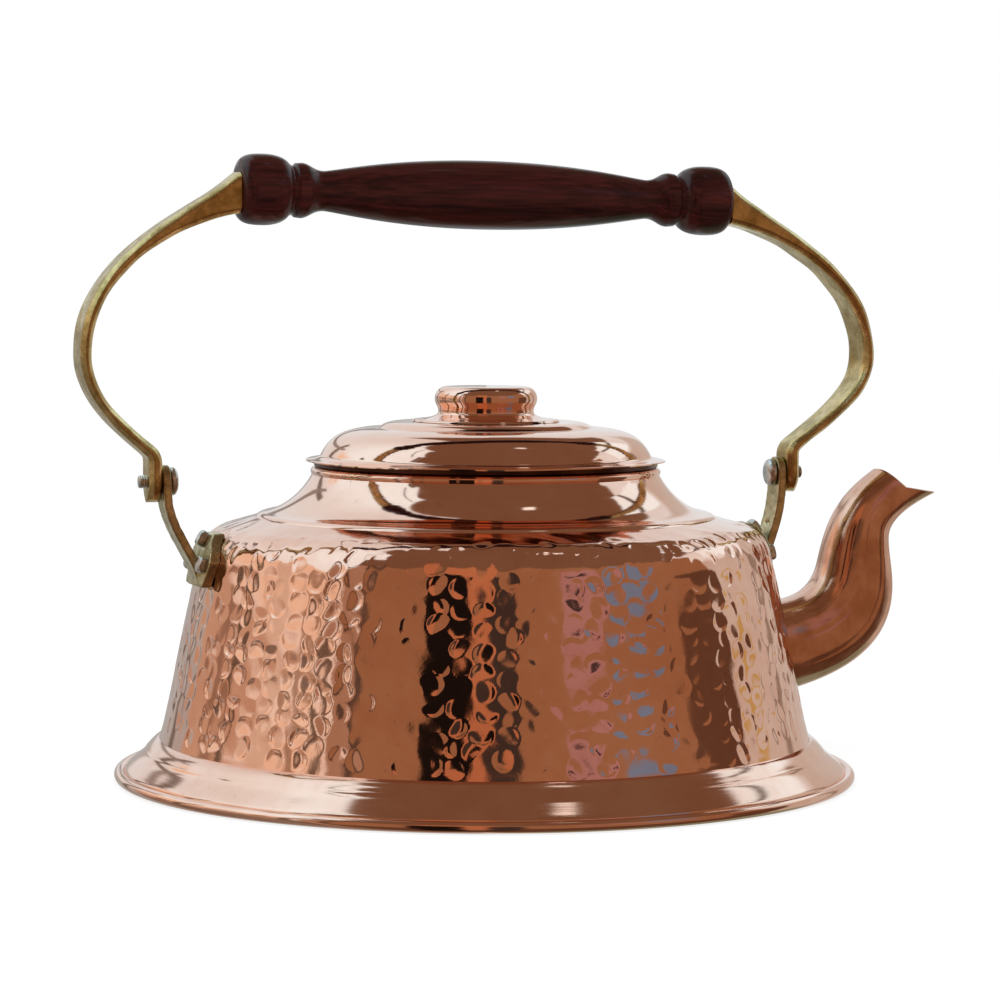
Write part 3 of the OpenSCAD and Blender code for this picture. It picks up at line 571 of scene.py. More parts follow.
# %% Knob
KNOB_BASE, CROWN = 110.63, 121.4
knob_foot = bezier([(23.0, 111.23), (19.4, 111.5), (15.0, 111.9), (14.8, 113.65)], 20)
knob_waist = bezier([(14.8, 113.65), (14.8, 115.45), (15.9, 115.65), (15.9, 117.65)], 16)
knob_crown = bezier([(15.9, 117.65), (15.9, 119.65), (14.5, CROWN), (12.3, CROWN)], 20)
knob_outer = respaced(joined([(23.0, KNOB_BASE + 0.05)], knob_foot, knob_waist, knob_crown,
                             [(0.3, CROWN - 0.15)]), 0.3)
knob_inner = joined(knob_foot[8:], knob_waist, knob_crown)
knob_inner = knob_inner + SHEET * leftwards(knob_inner)
knob_profile = np.vstack([[(0.3, 120.2)], respaced(knob_inner[::-1], 1.5), [(13.9, KNOB_BASE + 0.02)],
                          knob_outer])
knob_skin = grid_piece("knob_skin", [(turned(knob_profile, 160), False)])
dress(knob_skin, "lid", "spun_copper", "lid_knob")

# %% [markdown]
# ## Cast brass lugs
# The two lugs are sand castings: no edge on them is sharp. Their solids are already right, so each is
# copied, its loose triangles are merged, and a fine voxel remesh with some smoothing rounds every edge.
# Then a sum of sines moves the points along their normals by about a tenth of a millimetre at most, like
# the skin of a casting.

# %% Lugs
def cast_copy(name, node, seed, voxel=0.32, rounds=8, rough=0.15):
    """A rounded copy of a node: merged, remeshed, smoothed, then moved along normals by sines of place."""
    piece = placed(name, nodes[node].data.copy())
    weld = piece.modifiers.new("weld", "WELD")
    weld.merge_threshold = 0.002 * MM
    remesh = piece.modifiers.new("remesh", "REMESH")
    remesh.mode, remesh.voxel_size = "VOXEL", voxel * MM
    smooth = piece.modifiers.new("smooth", "SMOOTH")
    smooth.factor, smooth.iterations = 0.5, rounds
    made = bpy.data.meshes.new_from_object(piece.evaluated_get(bpy.context.evaluated_depsgraph_get()))
    piece.modifiers.clear()
    piece.data = made
    made.materials.clear()
    count = len(made.vertices)
    points, normals = np.empty(count * 3), np.empty(count * 3)
    made.vertices.foreach_get("co", points)
    made.vertices.foreach_get("normal", normals)
    points, normals = points.reshape(-1, 3) / MM, normals.reshape(-1, 3)
    waves = np.random.default_rng(seed)
    bumps = np.zeros(count)
    for way, phase in zip(waves.normal(0, 1.3, (12, 3)), waves.uniform(0, 6.28, 12)):
        bumps += np.sin(points @ way + phase) / 12
    points = points + normals * (bumps * rough)[:, None]
    made.vertices.foreach_set("co", (points * MM).ravel())
    made.shade_smooth()
    made.update()
    print(f"{name}: {len(made.polygons)} faces")
    return piece


for side, seed in (("rear", 31), ("front", 32)):
    dress(cast_copy(side + "_lug_cast", side + "_lug", seed), "kettle", "cast_brass", side + "_lug")

# %% [markdown]
# ## Rivets and pivot screws
# Each lug is held by three rivets with square, hammered heads: a pillow form, which is a superellipse in
# outline that shrinks towards the top. A screw with a low round head passes through the eye of the lug and
# into the arm.

# %% Rivets
LUG_PLACES = ((-5, 67.8), (5, 67.8), (0, 74.0))


def on_lug(points, side, turn, z):
    """Carries points from a rivet's frame, whose X leaves the wall squarely, to the wall at turn and z."""
    tilt = math.atan2(wall_radius(z - 0.4) - wall_radius(z + 0.4), 0.8)
    a = math.radians(turn) + (math.pi if side < 0 else 0)
    lean = np.array([[math.cos(tilt), 0, -math.sin(tilt)], [0, 1, 0], [math.sin(tilt), 0, math.cos(tilt)]])
    spin = np.array([[math.cos(a), -math.sin(a), 0], [math.sin(a), math.cos(a), 0], [0, 0, 1]])
    return (points @ lean.T + np.array([wall_radius(z), 0, z])) @ spin.T


def pillow(half, base, height, dents):
    """Rows of a superellipse with power 5: upright for half the height, then closing in a quarter circle."""
    a = around(48)
    reach = half / (np.abs(np.cos(a)) ** 5 + np.abs(np.sin(a)) ** 5) ** 0.2
    t = np.linspace(0, math.pi / 2, 14)
    scale = np.concatenate([[0.2, 0.97], 0.62 + 0.38 * np.cos(t), [0.4, 0.1]])
    up = np.concatenate([[0, 0], (0.42 + 0.5 * np.sin(t)) * height, [0.985 * height, height]])
    wavy = 1 + 0.035 * np.sin(3 * a + dents) + 0.02 * np.sin(5 * a - dents)
    y = scale[:, None] * reach * wavy * np.cos(a)
    z = scale[:, None] * reach * wavy * np.sin(a)
    struck = height * (up[:, None] > 0.5 * height)
    dent = struck * (0.05 * np.sin(2.1 * y + dents) * np.sin(1.8 * z - dents) - 0.04)
    return np.stack([base + up[:, None] + dent, y, z], axis=-1)


def turned_x(profile, columns):
    """A turned shape whose axis is X: the profile's points are (place on the axis, radius)."""
    a = around(columns)
    x = np.repeat(profile[:, :1], columns, axis=1)
    return np.stack([x, profile[:, 1:] * np.cos(a), profile[:, 1:] * np.sin(a)], axis=-1)


shank = np.array([(3.0, 0.05), (3.1, 1.55), (-2.2, 1.55), (-2.3, 2.1), (-2.7, 2.35), (-3.1, 2.0),
                  (-3.25, 0.05)])
for side_name, side in SIDES:
    grids = []
    for number, (turn, z) in enumerate(LUG_PLACES):
        grids.append((on_lug(pillow(2.45, 3.09, 2.3, number * 1.7 + side), side, turn, z), False))
        grids.append((on_lug(turned_x(shank, 24), side, turn, z), False))
    piece = grid_piece(side_name + "_rivet_heads", grids)
    dress(piece, "kettle", "tinned_rivet", side_name + "_lug_rivets")

# %% Pivot screws
PIVOT_Z = 93.4
PIVOT_FACE = {-1: 103.1, 1: 99.1}
head = [(-5.2, 0.05), (-5.18, 1.9), (-5.02, 3.0), (-4.6, 3.85), (-4.0, 4.25), (-3.3, 4.3), (-2.95, 4.1),
        (-2.82, 3.6), (-2.8, 2.0), (4.3, 2.0)]
thread_x = np.linspace(4.5, 6.4, 60)
thread = np.stack([thread_x, 1.9 + 0.1 * np.sin(thread_x * 2 * math.pi / 0.7)], axis=1)
screw = np.vstack([head, thread, [(6.65, 1.6), (6.8, 0.05)]])
for side_name, side in SIDES:
    points = turned_x(screw, 48) + np.array([PIVOT_FACE[side], 0, PIVOT_Z])
    points[..., 0] *= side
    piece = grid_piece(side_name + "_screw", [(points, False)])
    dress(piece, "bail", "tinned_rivet", side_name + "_pivot_screw")

# %% [markdown]
# ## The arms
# Each arm is a flat brass casting that hooks round a tang at the grip, bows outwards, draws in to a knee
# and ends in a round tab beside the lug. It is a section carried along a path: a flat bar with wide bevels,
# which is thick at its root, widest at the belly, and shrinks to a half circle round the pivot. Files and
# sand leave it a little uneven.

# %% Arm path
GRIP_HALF, GRIP_Z, GRIP_LEAN = 79.2, 180.4, math.radians(0.8)
TAB_R, ARM_REACH = 6.2, 128.4


def arm_centre(side):
    """Middle line of an arm from root to tab, in steps of 0.7 mm: three curves and a straight end."""
    tab = PIVOT_FACE[side] + 0.2 + 2.1
    knee = (tab + 1.8, 102.8)
    path = joined(bezier([(73.2, 181.0), (96.7, 171.8), (126.7, 158.5), (126.7, 131.0)], 200),
                  bezier([(126.7, 131.0), (126.7, 119), (tab + 11.8, 110.8), knee], 120),
                  bezier([knee, (tab + 0.7, 101.9), (tab, 101.0), (tab, 98.8)], 30),
                  [(tab, 90), (tab, 87.21)])
    return respaced(path, 0.7)


def arm_size(path):
    """Thickness and half width along an arm: thick at its root, widest at its belly, round at its end."""
    run = lengths(path)
    low_part = np.clip(1 - np.clip(path[:, 1] - PIVOT_Z, 0, None) / 12, 0, None)
    thick = 3.4 + 9.4 * np.exp(-np.clip(run - 4, 0, None) / 14) + 0.8 * np.clip(2 * low_part, 0, 1)
    half = np.interp(path[:, 1], [101.4, 119, 149, 172.4], [TAB_R, 7.7, 7.7, 6.3])
    below = np.clip(PIVOT_Z - path[:, 1], 0, TAB_R - 0.01)
    return thick, np.minimum(half, np.where(below > 0, np.sqrt(TAB_R**2 - below**2), half))


def bar_section(thick, half, count=10):
    """Corners of a flat bar with wide bevels, each corner rounded by a few points of a quadratic curve."""
    bevel_t = np.minimum(1.45, thick * 0.40)
    bevel_w = np.minimum(1.7, half * 0.45)
    t, w = thick / 2, half
    corners = [(t, -(w - bevel_w)), (t, w - bevel_w), (t - bevel_t, w), (-(t - bevel_t), w),
               (-t, w - bevel_w), (-t, -(w - bevel_w)), (-(t - bevel_t), -w), (t - bevel_t, -w)]
    corners = np.array([np.stack(np.broadcast_arrays(a, b), -1) for a, b in corners])
    rounded = []
    for k in range(len(corners)):
        before, here, after = corners[k - 1], corners[k], corners[(k + 1) % len(corners)]
        start, end = here + (before - here) * 0.16, here + (after - here) * 0.16
        for u in np.linspace(0, 1, 4):
            rounded.append(start * (1 - u) ** 2 + here * 2 * u * (1 - u) + end * u**2)
        if k in (0, 4):
            for u in np.linspace(0.1, 0.9, count):
                rounded.append(end * (1 - u) + (after + (here - after) * 0.16) * u)
    return np.array(rounded).transpose(1, 0, 2)


def arm_rows(side, seed):
    """Carries the section along the path, clear of the grip's end, and leans it with the grip. The waves of
    the casting fade out towards the tab, which turns close beside its lug."""
    path = arm_centre(side)
    run, normal = lengths(path)[:, None], leftwards(path)
    section = bar_section(*arm_size(path))
    waves = np.random.default_rng(seed)
    y = section[..., 1]
    cast = np.zeros_like(y)
    for along_k, across_k, phase in zip(waves.uniform(0.08, 0.5, 9), waves.normal(0, 0.35, 9),
                                        waves.uniform(0, 6, 9)):
        cast += np.sin(along_k * run + across_k * y + phase) / 9
    cast *= smooth_step(PIVOT_Z + 7, PIVOT_Z + 13, path[:, 1:])
    off = section[..., 0] + cast * 0.28 * np.sign(section[..., 0])
    x = np.clip(path[:, :1] + normal[:, :1] * off, GRIP_HALF + 0.05, ARM_REACH)
    z = path[:, 1:] + normal[:, 1:] * off
    lean = -math.tan(side * GRIP_LEAN) * x * np.clip((z - PIVOT_Z) / (GRIP_Z - PIVOT_Z), 0, None)
    return np.stack([x * side, y, z + lean], axis=-1)


print("rear arm", round(float(lengths(arm_centre(-1))[-1])), "mm long")

# %% Arm meshes
for side_name, side in SIDES:
    rows = arm_rows(side, 40 + side)
    clear = (rows[:, :, 0] * side).max(axis=1) > GRIP_HALF + 0.3
    piece = grid_piece(side_name + "_arm_cast", [(rows[clear], False)], crease=50)
    dress(piece, "bail", "cast_brass", side_name + "_arm")

# %% [markdown]
# ## The turned grip
# The grip is turned from dark wood: a long barrel that narrows to a neck, a sharp little collar and groove,
# and a ball at each end. Its outline runs from the middle outwards and is mirrored, and the whole is turned
# round its own axis, which leans by less than a degree because the bail hangs a little askew.

# %% Grip
NECK_AT, COLLAR_AT, KNOB_IN, KNOB_MID = 51.8, 60.4, 63.6, 71.8
GROOVE_R, COLLAR_R, KNOB_R = 7.6, 8.4, 10.8
grip_side = joined(
    bezier([(0, 10.6), (28.5, 10.6), (44.5, 7.0), (NECK_AT, 6.1)], 80),
    bezier([(NECK_AT, 6.1), (NECK_AT + 4, 5.9), (COLLAR_AT - 3.5, COLLAR_R), (COLLAR_AT - 0.8, COLLAR_R)],
           24),
    [(COLLAR_AT + 0.4, COLLAR_R), (COLLAR_AT + 0.9, COLLAR_R - 0.2), (COLLAR_AT + 1.3, GROOVE_R + 0.1),
     (COLLAR_AT + 1.8, GROOVE_R - 0.1), (KNOB_IN - 0.8, GROOVE_R), (KNOB_IN, GROOVE_R + 0.5)],
    bezier([(KNOB_IN, GROOVE_R + 0.5), (KNOB_IN + 2, KNOB_R + 0.1), (KNOB_MID - 1, KNOB_R),
            (KNOB_MID, KNOB_R)], 24),
    bezier([(KNOB_MID, KNOB_R), (KNOB_MID + 4.4, KNOB_R), (GRIP_HALF, KNOB_R - 0.6), (GRIP_HALF, 6.4)], 24),
    [(GRIP_HALF, 0.1)])
grip_outline = np.vstack([grip_side[:0:-1] * [-1, 1], grip_side])
grip_angle = around(144)
grip_along = grip_outline[:, :1]
hand_made = 1 + 0.006 * np.sin(2 * grip_angle + grip_along * 0.05) * smooth_step(79, 60, np.abs(grip_along))
grip_points = turned_x(grip_outline, 144)
grip_points[..., 1:] *= hand_made[..., None]
tilt = np.array([[math.cos(GRIP_LEAN), 0, math.sin(GRIP_LEAN)], [0, 1, 0],
                 [-math.sin(GRIP_LEAN), 0, math.cos(GRIP_LEAN)]])
grip_points = grip_points @ tilt.T + np.array([0, 0, GRIP_Z])
wood_grip = grid_piece("wood_grip", [(grip_points, False)], crease=35)
dress(wood_grip, "bail", "dark_wood", "grip")

# %% [markdown]
# ## Writing shaders as sums
# A finish is arithmetic on patterns, so a small class wraps a socket and turns each operator into a Math
# node. The reflected forms let a number stand on the left, as in 1 - mask. Colours are mixed by a method of
# their own, because a Math node would turn them grey.

# %% Shader helper
class Wire:
    """A value or colour on its way through a material's nodes."""

    def __init__(self, finish, socket):
        self.finish, self.socket = finish, socket

    def math(self, operation, *others):
        return self.finish.math(operation, self, *others)

    def __add__(self, other): return self.math("ADD", other)
    def __sub__(self, other): return self.math("SUBTRACT", other)
    def __mul__(self, other): return self.math("MULTIPLY", other)
    def __rsub__(self, other): return self.finish.math("SUBTRACT", other, self)
    def __neg__(self): return self * -1
    __radd__, __rmul__ = __add__, __mul__

    def between(self, low, high, soft):
        """1 inside low..high and 0 outside, with edges that are soft wide."""
        return self.step(low - soft / 2, low + soft / 2) * (1 - self.step(high - soft / 2, high + soft / 2))

    def step(self, low, high):
        settings = {"interpolation_type": "SMOOTHSTEP"}
        return self.finish.add("ShaderNodeMapRange", settings, {0: self, 1: low, 2: high, 3: 0.0, 4: 1.0})

    def axes(self):
        split = self.finish.node("ShaderNodeSeparateXYZ", {}, {0: self})
        return [Wire(self.finish, out) for out in split.outputs[:3]]


class Finish:
    """A material under construction: its nodes, its surface shader, and each point's place in mm."""

    def __init__(self, name, shader="ShaderNodeBsdfPrincipled"):
        self.material = bpy.data.materials.new(name)
        self.material.use_nodes = True
        self.tree = self.material.node_tree
        self.tree.nodes.clear()
        self.output = self.tree.nodes.new("ShaderNodeOutputMaterial")
        self.surface = self.tree.nodes.new(shader)
        self.tree.links.new(self.surface.outputs[0], self.output.inputs[0])
        here = self.add("ShaderNodeTexCoord", {}, {}, "Object")
        self.place = self.add("ShaderNodeVectorMath", {"operation": "SCALE"}, {0: here, "Scale": 1 / MM})

    def node(self, kind, settings, values):
        made = self.tree.nodes.new(kind)
        for key, value in settings.items():
            setattr(made, key, value)
        for key, value in values.items():
            self.feed(made.inputs[key], value)
        return made

    def feed(self, socket, value):
        """Links a wire to a socket, or gives the socket a value of its own."""
        if isinstance(value, Wire):
            self.tree.links.new(value.socket, socket)
        else:
            coloured = isinstance(value, tuple) and socket.type == "RGBA"
            socket.default_value = (*value, 1.0) if coloured else value

    def add(self, kind, settings, values, out=0):
        return Wire(self, self.node(kind, settings, values).outputs[out])

    def math(self, operation, *values):
        return self.add("ShaderNodeMath", {"operation": operation}, dict(enumerate(values)))

    def mix(self, share, first, second):
        made = self.node("ShaderNodeMix", {"data_type": "RGBA"}, {0: share, 6: first, 7: second})
        return Wire(self, made.outputs[2])

    def noise(self, size, detail=3.0, rough=0.5, place=None, stretch=(1, 1, 1)):
        """Cloudy noise from 0 to 1 with spots about size mm wide, times stretch along each axis."""
        scaled = self.add("ShaderNodeVectorMath", {"operation": "DIVIDE"},
                          {0: place or self.place, 1: tuple(size * s for s in stretch)})
        return self.add("ShaderNodeTexNoise", {},
                        {"Vector": scaled, "Scale": 1.0, "Detail": detail, "Roughness": rough})

    def vector(self, x, y, z):
        return self.add("ShaderNodeCombineXYZ", {}, {0: x, 1: y, 2: z})

    def set(self, **values):
        for key, value in values.items():
            self.feed(self.surface.inputs[key.replace("_", " ")], value)

    def bump(self, height, distance):
        """Bump from a height from 0 to 1 that stands for distance millimetres."""
        values = {"Height": height, "Distance": distance * MM, "Strength": 1.0}
        self.set(Normal=self.add("ShaderNodeBump", {}, values))


print("shader helper ready")

# %% [markdown]
# ## Copper, polished and dull
# Polished copper is a mirror with a strong colour of its own. The hammered wall is a shade browner in
# patches and has a little grime. Spun parts keep fine rings from the tool, so their bump reads the distance
# from the axis and the height. The spout is duller and darker, with streaks along it from the cloth, and
# the bottom and the roves were never polished. The lid's collar was never polished either, and it is painted
# almost black: painted shade of the narrow gap under the lid's flange.

# %% Hammered copper
def hammered_copper():
    """Mirror copper in two shades with spots of grime and the finest waves of the hammer's face."""
    f = Finish("hammered_copper")
    tone = f.noise(26, 4) * 0.7 + f.noise(5, 3) * 0.3
    colour = f.mix(tone.step(0.32, 0.68), (0.86, 0.53, 0.41), (0.95, 0.65, 0.53))
    grime = f.noise(2.2, 4, 0.6).step(0.60, 0.78) * 0.35
    f.set(Base_Color=f.mix(grime, colour, (0.55, 0.27, 0.17)), Metallic=1.0,
          Roughness=0.055 + f.noise(9, 4).step(0.4, 0.8) * 0.05 + grime * 0.15)
    fine = f.noise(1.1, 4, 0.55) * 0.7 + f.noise(0.35, 2) * 0.3
    f.bump(fine, 0.012)
    return f.material


def spun_copper(name, bright, brown, rough, ring=0.010):
    """Copper with turning lines: noise over (distance from the axis, height) drawn out to rings."""
    f = Finish(name)
    x, y, z = f.place.axes()
    r = (x * x + y * y).math("SQRT")
    turned_at = f.vector(r, 0.0, z)
    rings = f.noise(0.45, 3, 0.6, turned_at) * 0.65 + f.noise(1.6, 2, 0.5, turned_at) * 0.35
    tone = f.noise(30, 3) * 0.6 + f.noise(7, 3) * 0.25 + rings * 0.15
    stain = f.noise(3.0, 5, 0.65).step(0.60, 0.80) * 0.35
    f.set(Base_Color=f.mix(stain, f.mix(tone.step(0.35, 0.65), brown, bright), (0.50, 0.25, 0.16)),
          Metallic=1.0,
          Roughness=rough + rings.step(0.45, 0.75) * 0.05 + stain * 0.2)
    f.bump(rings, ring)
    return f.material


def satin_copper():
    """Darker wiped copper: streaks run up the spout, and the mouth is heated to an olive brown."""
    f = Finish("satin_copper")
    x, y, z = f.place.axes()
    streak = f.noise(1.0, 4, 0.6, stretch=(6, 0.8, 9))
    tone = f.noise(11, 4) * 0.55 + streak * 0.45
    colour = f.mix(tone.step(0.34, 0.66), (0.60, 0.33, 0.22), (0.86, 0.55, 0.42))
    tip = (z + x * 0.6).step(176, 181)
    colour = f.mix(tip * 0.4, colour, (0.50, 0.38, 0.25))
    f.set(Base_Color=colour, Metallic=1.0, Roughness=0.13 + streak.step(0.3, 0.8) * 0.12)
    f.bump(streak * 0.7 + f.noise(0.5, 3) * 0.3, 0.03)
    return f.material


def heated_copper(name, dark, light):
    """Dull copper, never polished, with heat tints in blotches."""
    f = Finish(name)
    tone = f.noise(18, 5, 0.6)
    tint = f.noise(40, 3).step(0.45, 0.7)
    colour = f.mix(tone.step(0.3, 0.7), dark, light)
    f.set(Base_Color=f.mix(tint * 0.4, colour, (0.30, 0.20, 0.22)), Metallic=1.0,
          Roughness=0.26 + tone.step(0.35, 0.8) * 0.18)
    f.bump(f.noise(0.8, 4), 0.03)
    return f.material


finishes = {
    "hammered_copper": hammered_copper(),
    "spun_copper": spun_copper("spun_copper", (0.955, 0.67, 0.55), (0.88, 0.56, 0.44), 0.06),
    "brushed_copper": spun_copper("brushed_copper", (0.94, 0.65, 0.53), (0.84, 0.52, 0.40), 0.085, 0.022),
    "satin_copper": satin_copper(),
    "plain_copper": heated_copper("heated_copper", (0.30, 0.14, 0.09), (0.66, 0.36, 0.25)),
    # the lid's collar: never-polished copper in almost black shades, which are painted shade of the gap under
    # the lid's flange
    "shade_painted_copper": heated_copper("shade_painted_copper", (0.035, 0.016, 0.011), (0.13, 0.06, 0.042)),
}
print("copper finishes:", len(finishes))

# %% [markdown]
# ## Brass, tin, steel and solder
# Cast brass that has been handled goes olive and dull, and stays bright only where it is rubbed. The rivets
# are tinned and dented, and the solder is wiped, so its brightness comes and goes. Pointiness isn't used
# for wear, because it depends on the mesh: noise of two sizes does it.

# %% Other metals
def metal(name, dark, light, rough, spread, spot, grain, depth):
    """Two shades of metal in spots of one size, with fine grain; roughness grows in the darker places."""
    f = Finish(name)
    tone = f.noise(spot, 4, 0.6) * 0.7 + f.noise(spot / 5, 3, 0.6) * 0.3
    share = tone.step(0.36, 0.64)
    f.set(Base_Color=f.mix(share, dark, light), Metallic=1.0, Roughness=rough + (1 - share) * spread)
    f.bump(f.noise(grain, 4, 0.6), depth)
    return f.material


METALS = {
    # darker and lighter shade, roughness and its spread, sizes of the spots and the grain, depth of the grain
    "cast_brass": ((0.40, 0.31, 0.11), (0.72, 0.58, 0.28), 0.21, 0.12, 7, 0.6, 0.02),
    "lug_brass": ((0.42, 0.38, 0.20), (0.72, 0.66, 0.42), 0.26, 0.12, 5, 0.6, 0.03),
    "tinned_rivet": ((0.48, 0.52, 0.51), (0.80, 0.86, 0.87), 0.22, 0.18, 1.6, 0.5, 0.03),
    "solder": ((0.36, 0.27, 0.21), (0.66, 0.62, 0.56), 0.28, 0.16, 3, 0.7, 0.08),
    "wire_steel": ((0.30, 0.29, 0.28), (0.52, 0.52, 0.52), 0.25, 0.15, 4, 0.6, 0.02),
    "plain_brass": ((0.50, 0.38, 0.15), (0.75, 0.62, 0.31), 0.20, 0.12, 4, 0.6, 0.02),
}
for name, measures in METALS.items():
    finishes[name] = metal(name, *measures)
print("finishes:", ", ".join(finishes))

# %% [markdown]
# ## Dark varnished wood
# The grip's grain runs along it, so the noise is stretched along X. Under a clear coat the red-brown shows
# only where the light is strong; fine pores and a few dull worn spots break it up.

# %% Wood
def dark_wood():
    """Two dark shades mixed by long grain, with paler worn spots, under a thin coat of varnish."""
    f = Finish("dark_wood")
    grain = f.noise(1.0, 5, 0.6, stretch=(22, 1.1, 1.1))
    broad = f.noise(6, 3, stretch=(8, 1, 1))
    colour = f.mix((grain * 0.6 + broad * 0.4).step(0.35, 0.68), (0.008, 0.0012, 0.0012),
                   (0.036, 0.0045, 0.004))
    worn = f.noise(4, 5, 0.7).step(0.64, 0.80)
    f.set(Base_Color=f.mix(worn * 0.3, colour, (0.065, 0.018, 0.013)), Metallic=0.0,
          Roughness=0.32 + worn * 0.2, Coat_Weight=0.32, Coat_Roughness=0.10, Specular_IOR_Level=0.15)
    f.bump(grain * 0.6 + f.noise(0.6, 3, stretch=(6, 1, 1)) * 0.4, 0.03)
    return f.material


finishes["dark_wood"] = dark_wood()
print("wood ready")

# %% [markdown]
# ## Dressing every piece
# New pieces were told their slot when they were made, and most wear the finish that is named like it; three
# have one of their own. Solids that stay visible carry their slot in the record, and get their finish from
# a table. Only material slots of those solids are changed, never their meshes.

# %% Assign the finishes
SHOWN_SOLIDS = {
    "plain_copper": ("bottom_plate", "rear_lug_roves", "front_lug_roves"),
    "plain_brass": ("knob_stud", "knob_washer", "knob_nut"),
    "wire_steel": ("neck_rim_wire",),
    # the lid's collar is painted almost black, as painted shade of the gap under the flange
    "shade_painted_copper": ("lid_collar",),
}
OWN_FINISH = {"rolled_foot": "brushed_copper", "rear_lug_cast": "lug_brass", "front_lug_cast": "lug_brass"}
for name, finish in slot_of.items():
    mesh = bpy.data.objects[name].data
    mesh.materials.clear()
    mesh.materials.append(finishes[OWN_FINISH.get(name, finish)])
for finish, names in SHOWN_SOLIDS.items():
    for name in names:
        for slot in nodes[name].material_slots:
            slot.material = finishes[finish]
print(len(slot_of), "pieces and", sum(map(len, SHOWN_SOLIDS.values())), "solids have their finish")

# %% [markdown]
# ## Studio
# Polished copper shows the room more than itself, so the room is part of the look. The floor is white and
# keeps a soft shadow. A large dome round the table is seen only in reflections: it is bright all round,
# with plain cards in it, tan, brown and black on the camera's side, which give the mirror something dark to
# show. Soft lamps light what isn't a mirror.

# %% Floor and world
def flat_square(name, half, z):
    mesh = bpy.data.meshes.new(name)
    mesh.from_pydata([(-half, -half, z), (half, -half, z), (half, half, z), (-half, half, z)], [],
                     [(0, 1, 2, 3)])
    made = placed(name, mesh)
    return made


GLOW_SHARE, GLOW_STRENGTH = 0.80, 1.03
floor = flat_square("floor", 4.0, -0.0002)
paint = Finish("floor_paint", "ShaderNodeMixShader")
seen = paint.node("ShaderNodeLightPath", {}, {})
matte = paint.node("ShaderNodeBsdfDiffuse", {}, {"Color": (0.9, 0.9, 0.9)})
glow = paint.node("ShaderNodeEmission", {}, {"Color": (1.0, 1.0, 1.0), "Strength": GLOW_STRENGTH})
share = Wire(paint, seen.outputs["Is Camera Ray"]) * GLOW_SHARE
for socket, source in zip(paint.surface.inputs, (share.socket, matte.outputs[0], glow.outputs[0])):
    paint.tree.links.new(source, socket)
floor.data.materials.append(paint.material)
floor.visible_glossy = False

world = bpy.data.worlds.new("white_room")
world.use_nodes = True
world.node_tree.nodes["Background"].inputs[0].default_value = (1, 1, 1, 1)
world.node_tree.nodes["Background"].inputs[1].default_value = 1.0
bpy.context.scene.world = world
print("floor and world ready")

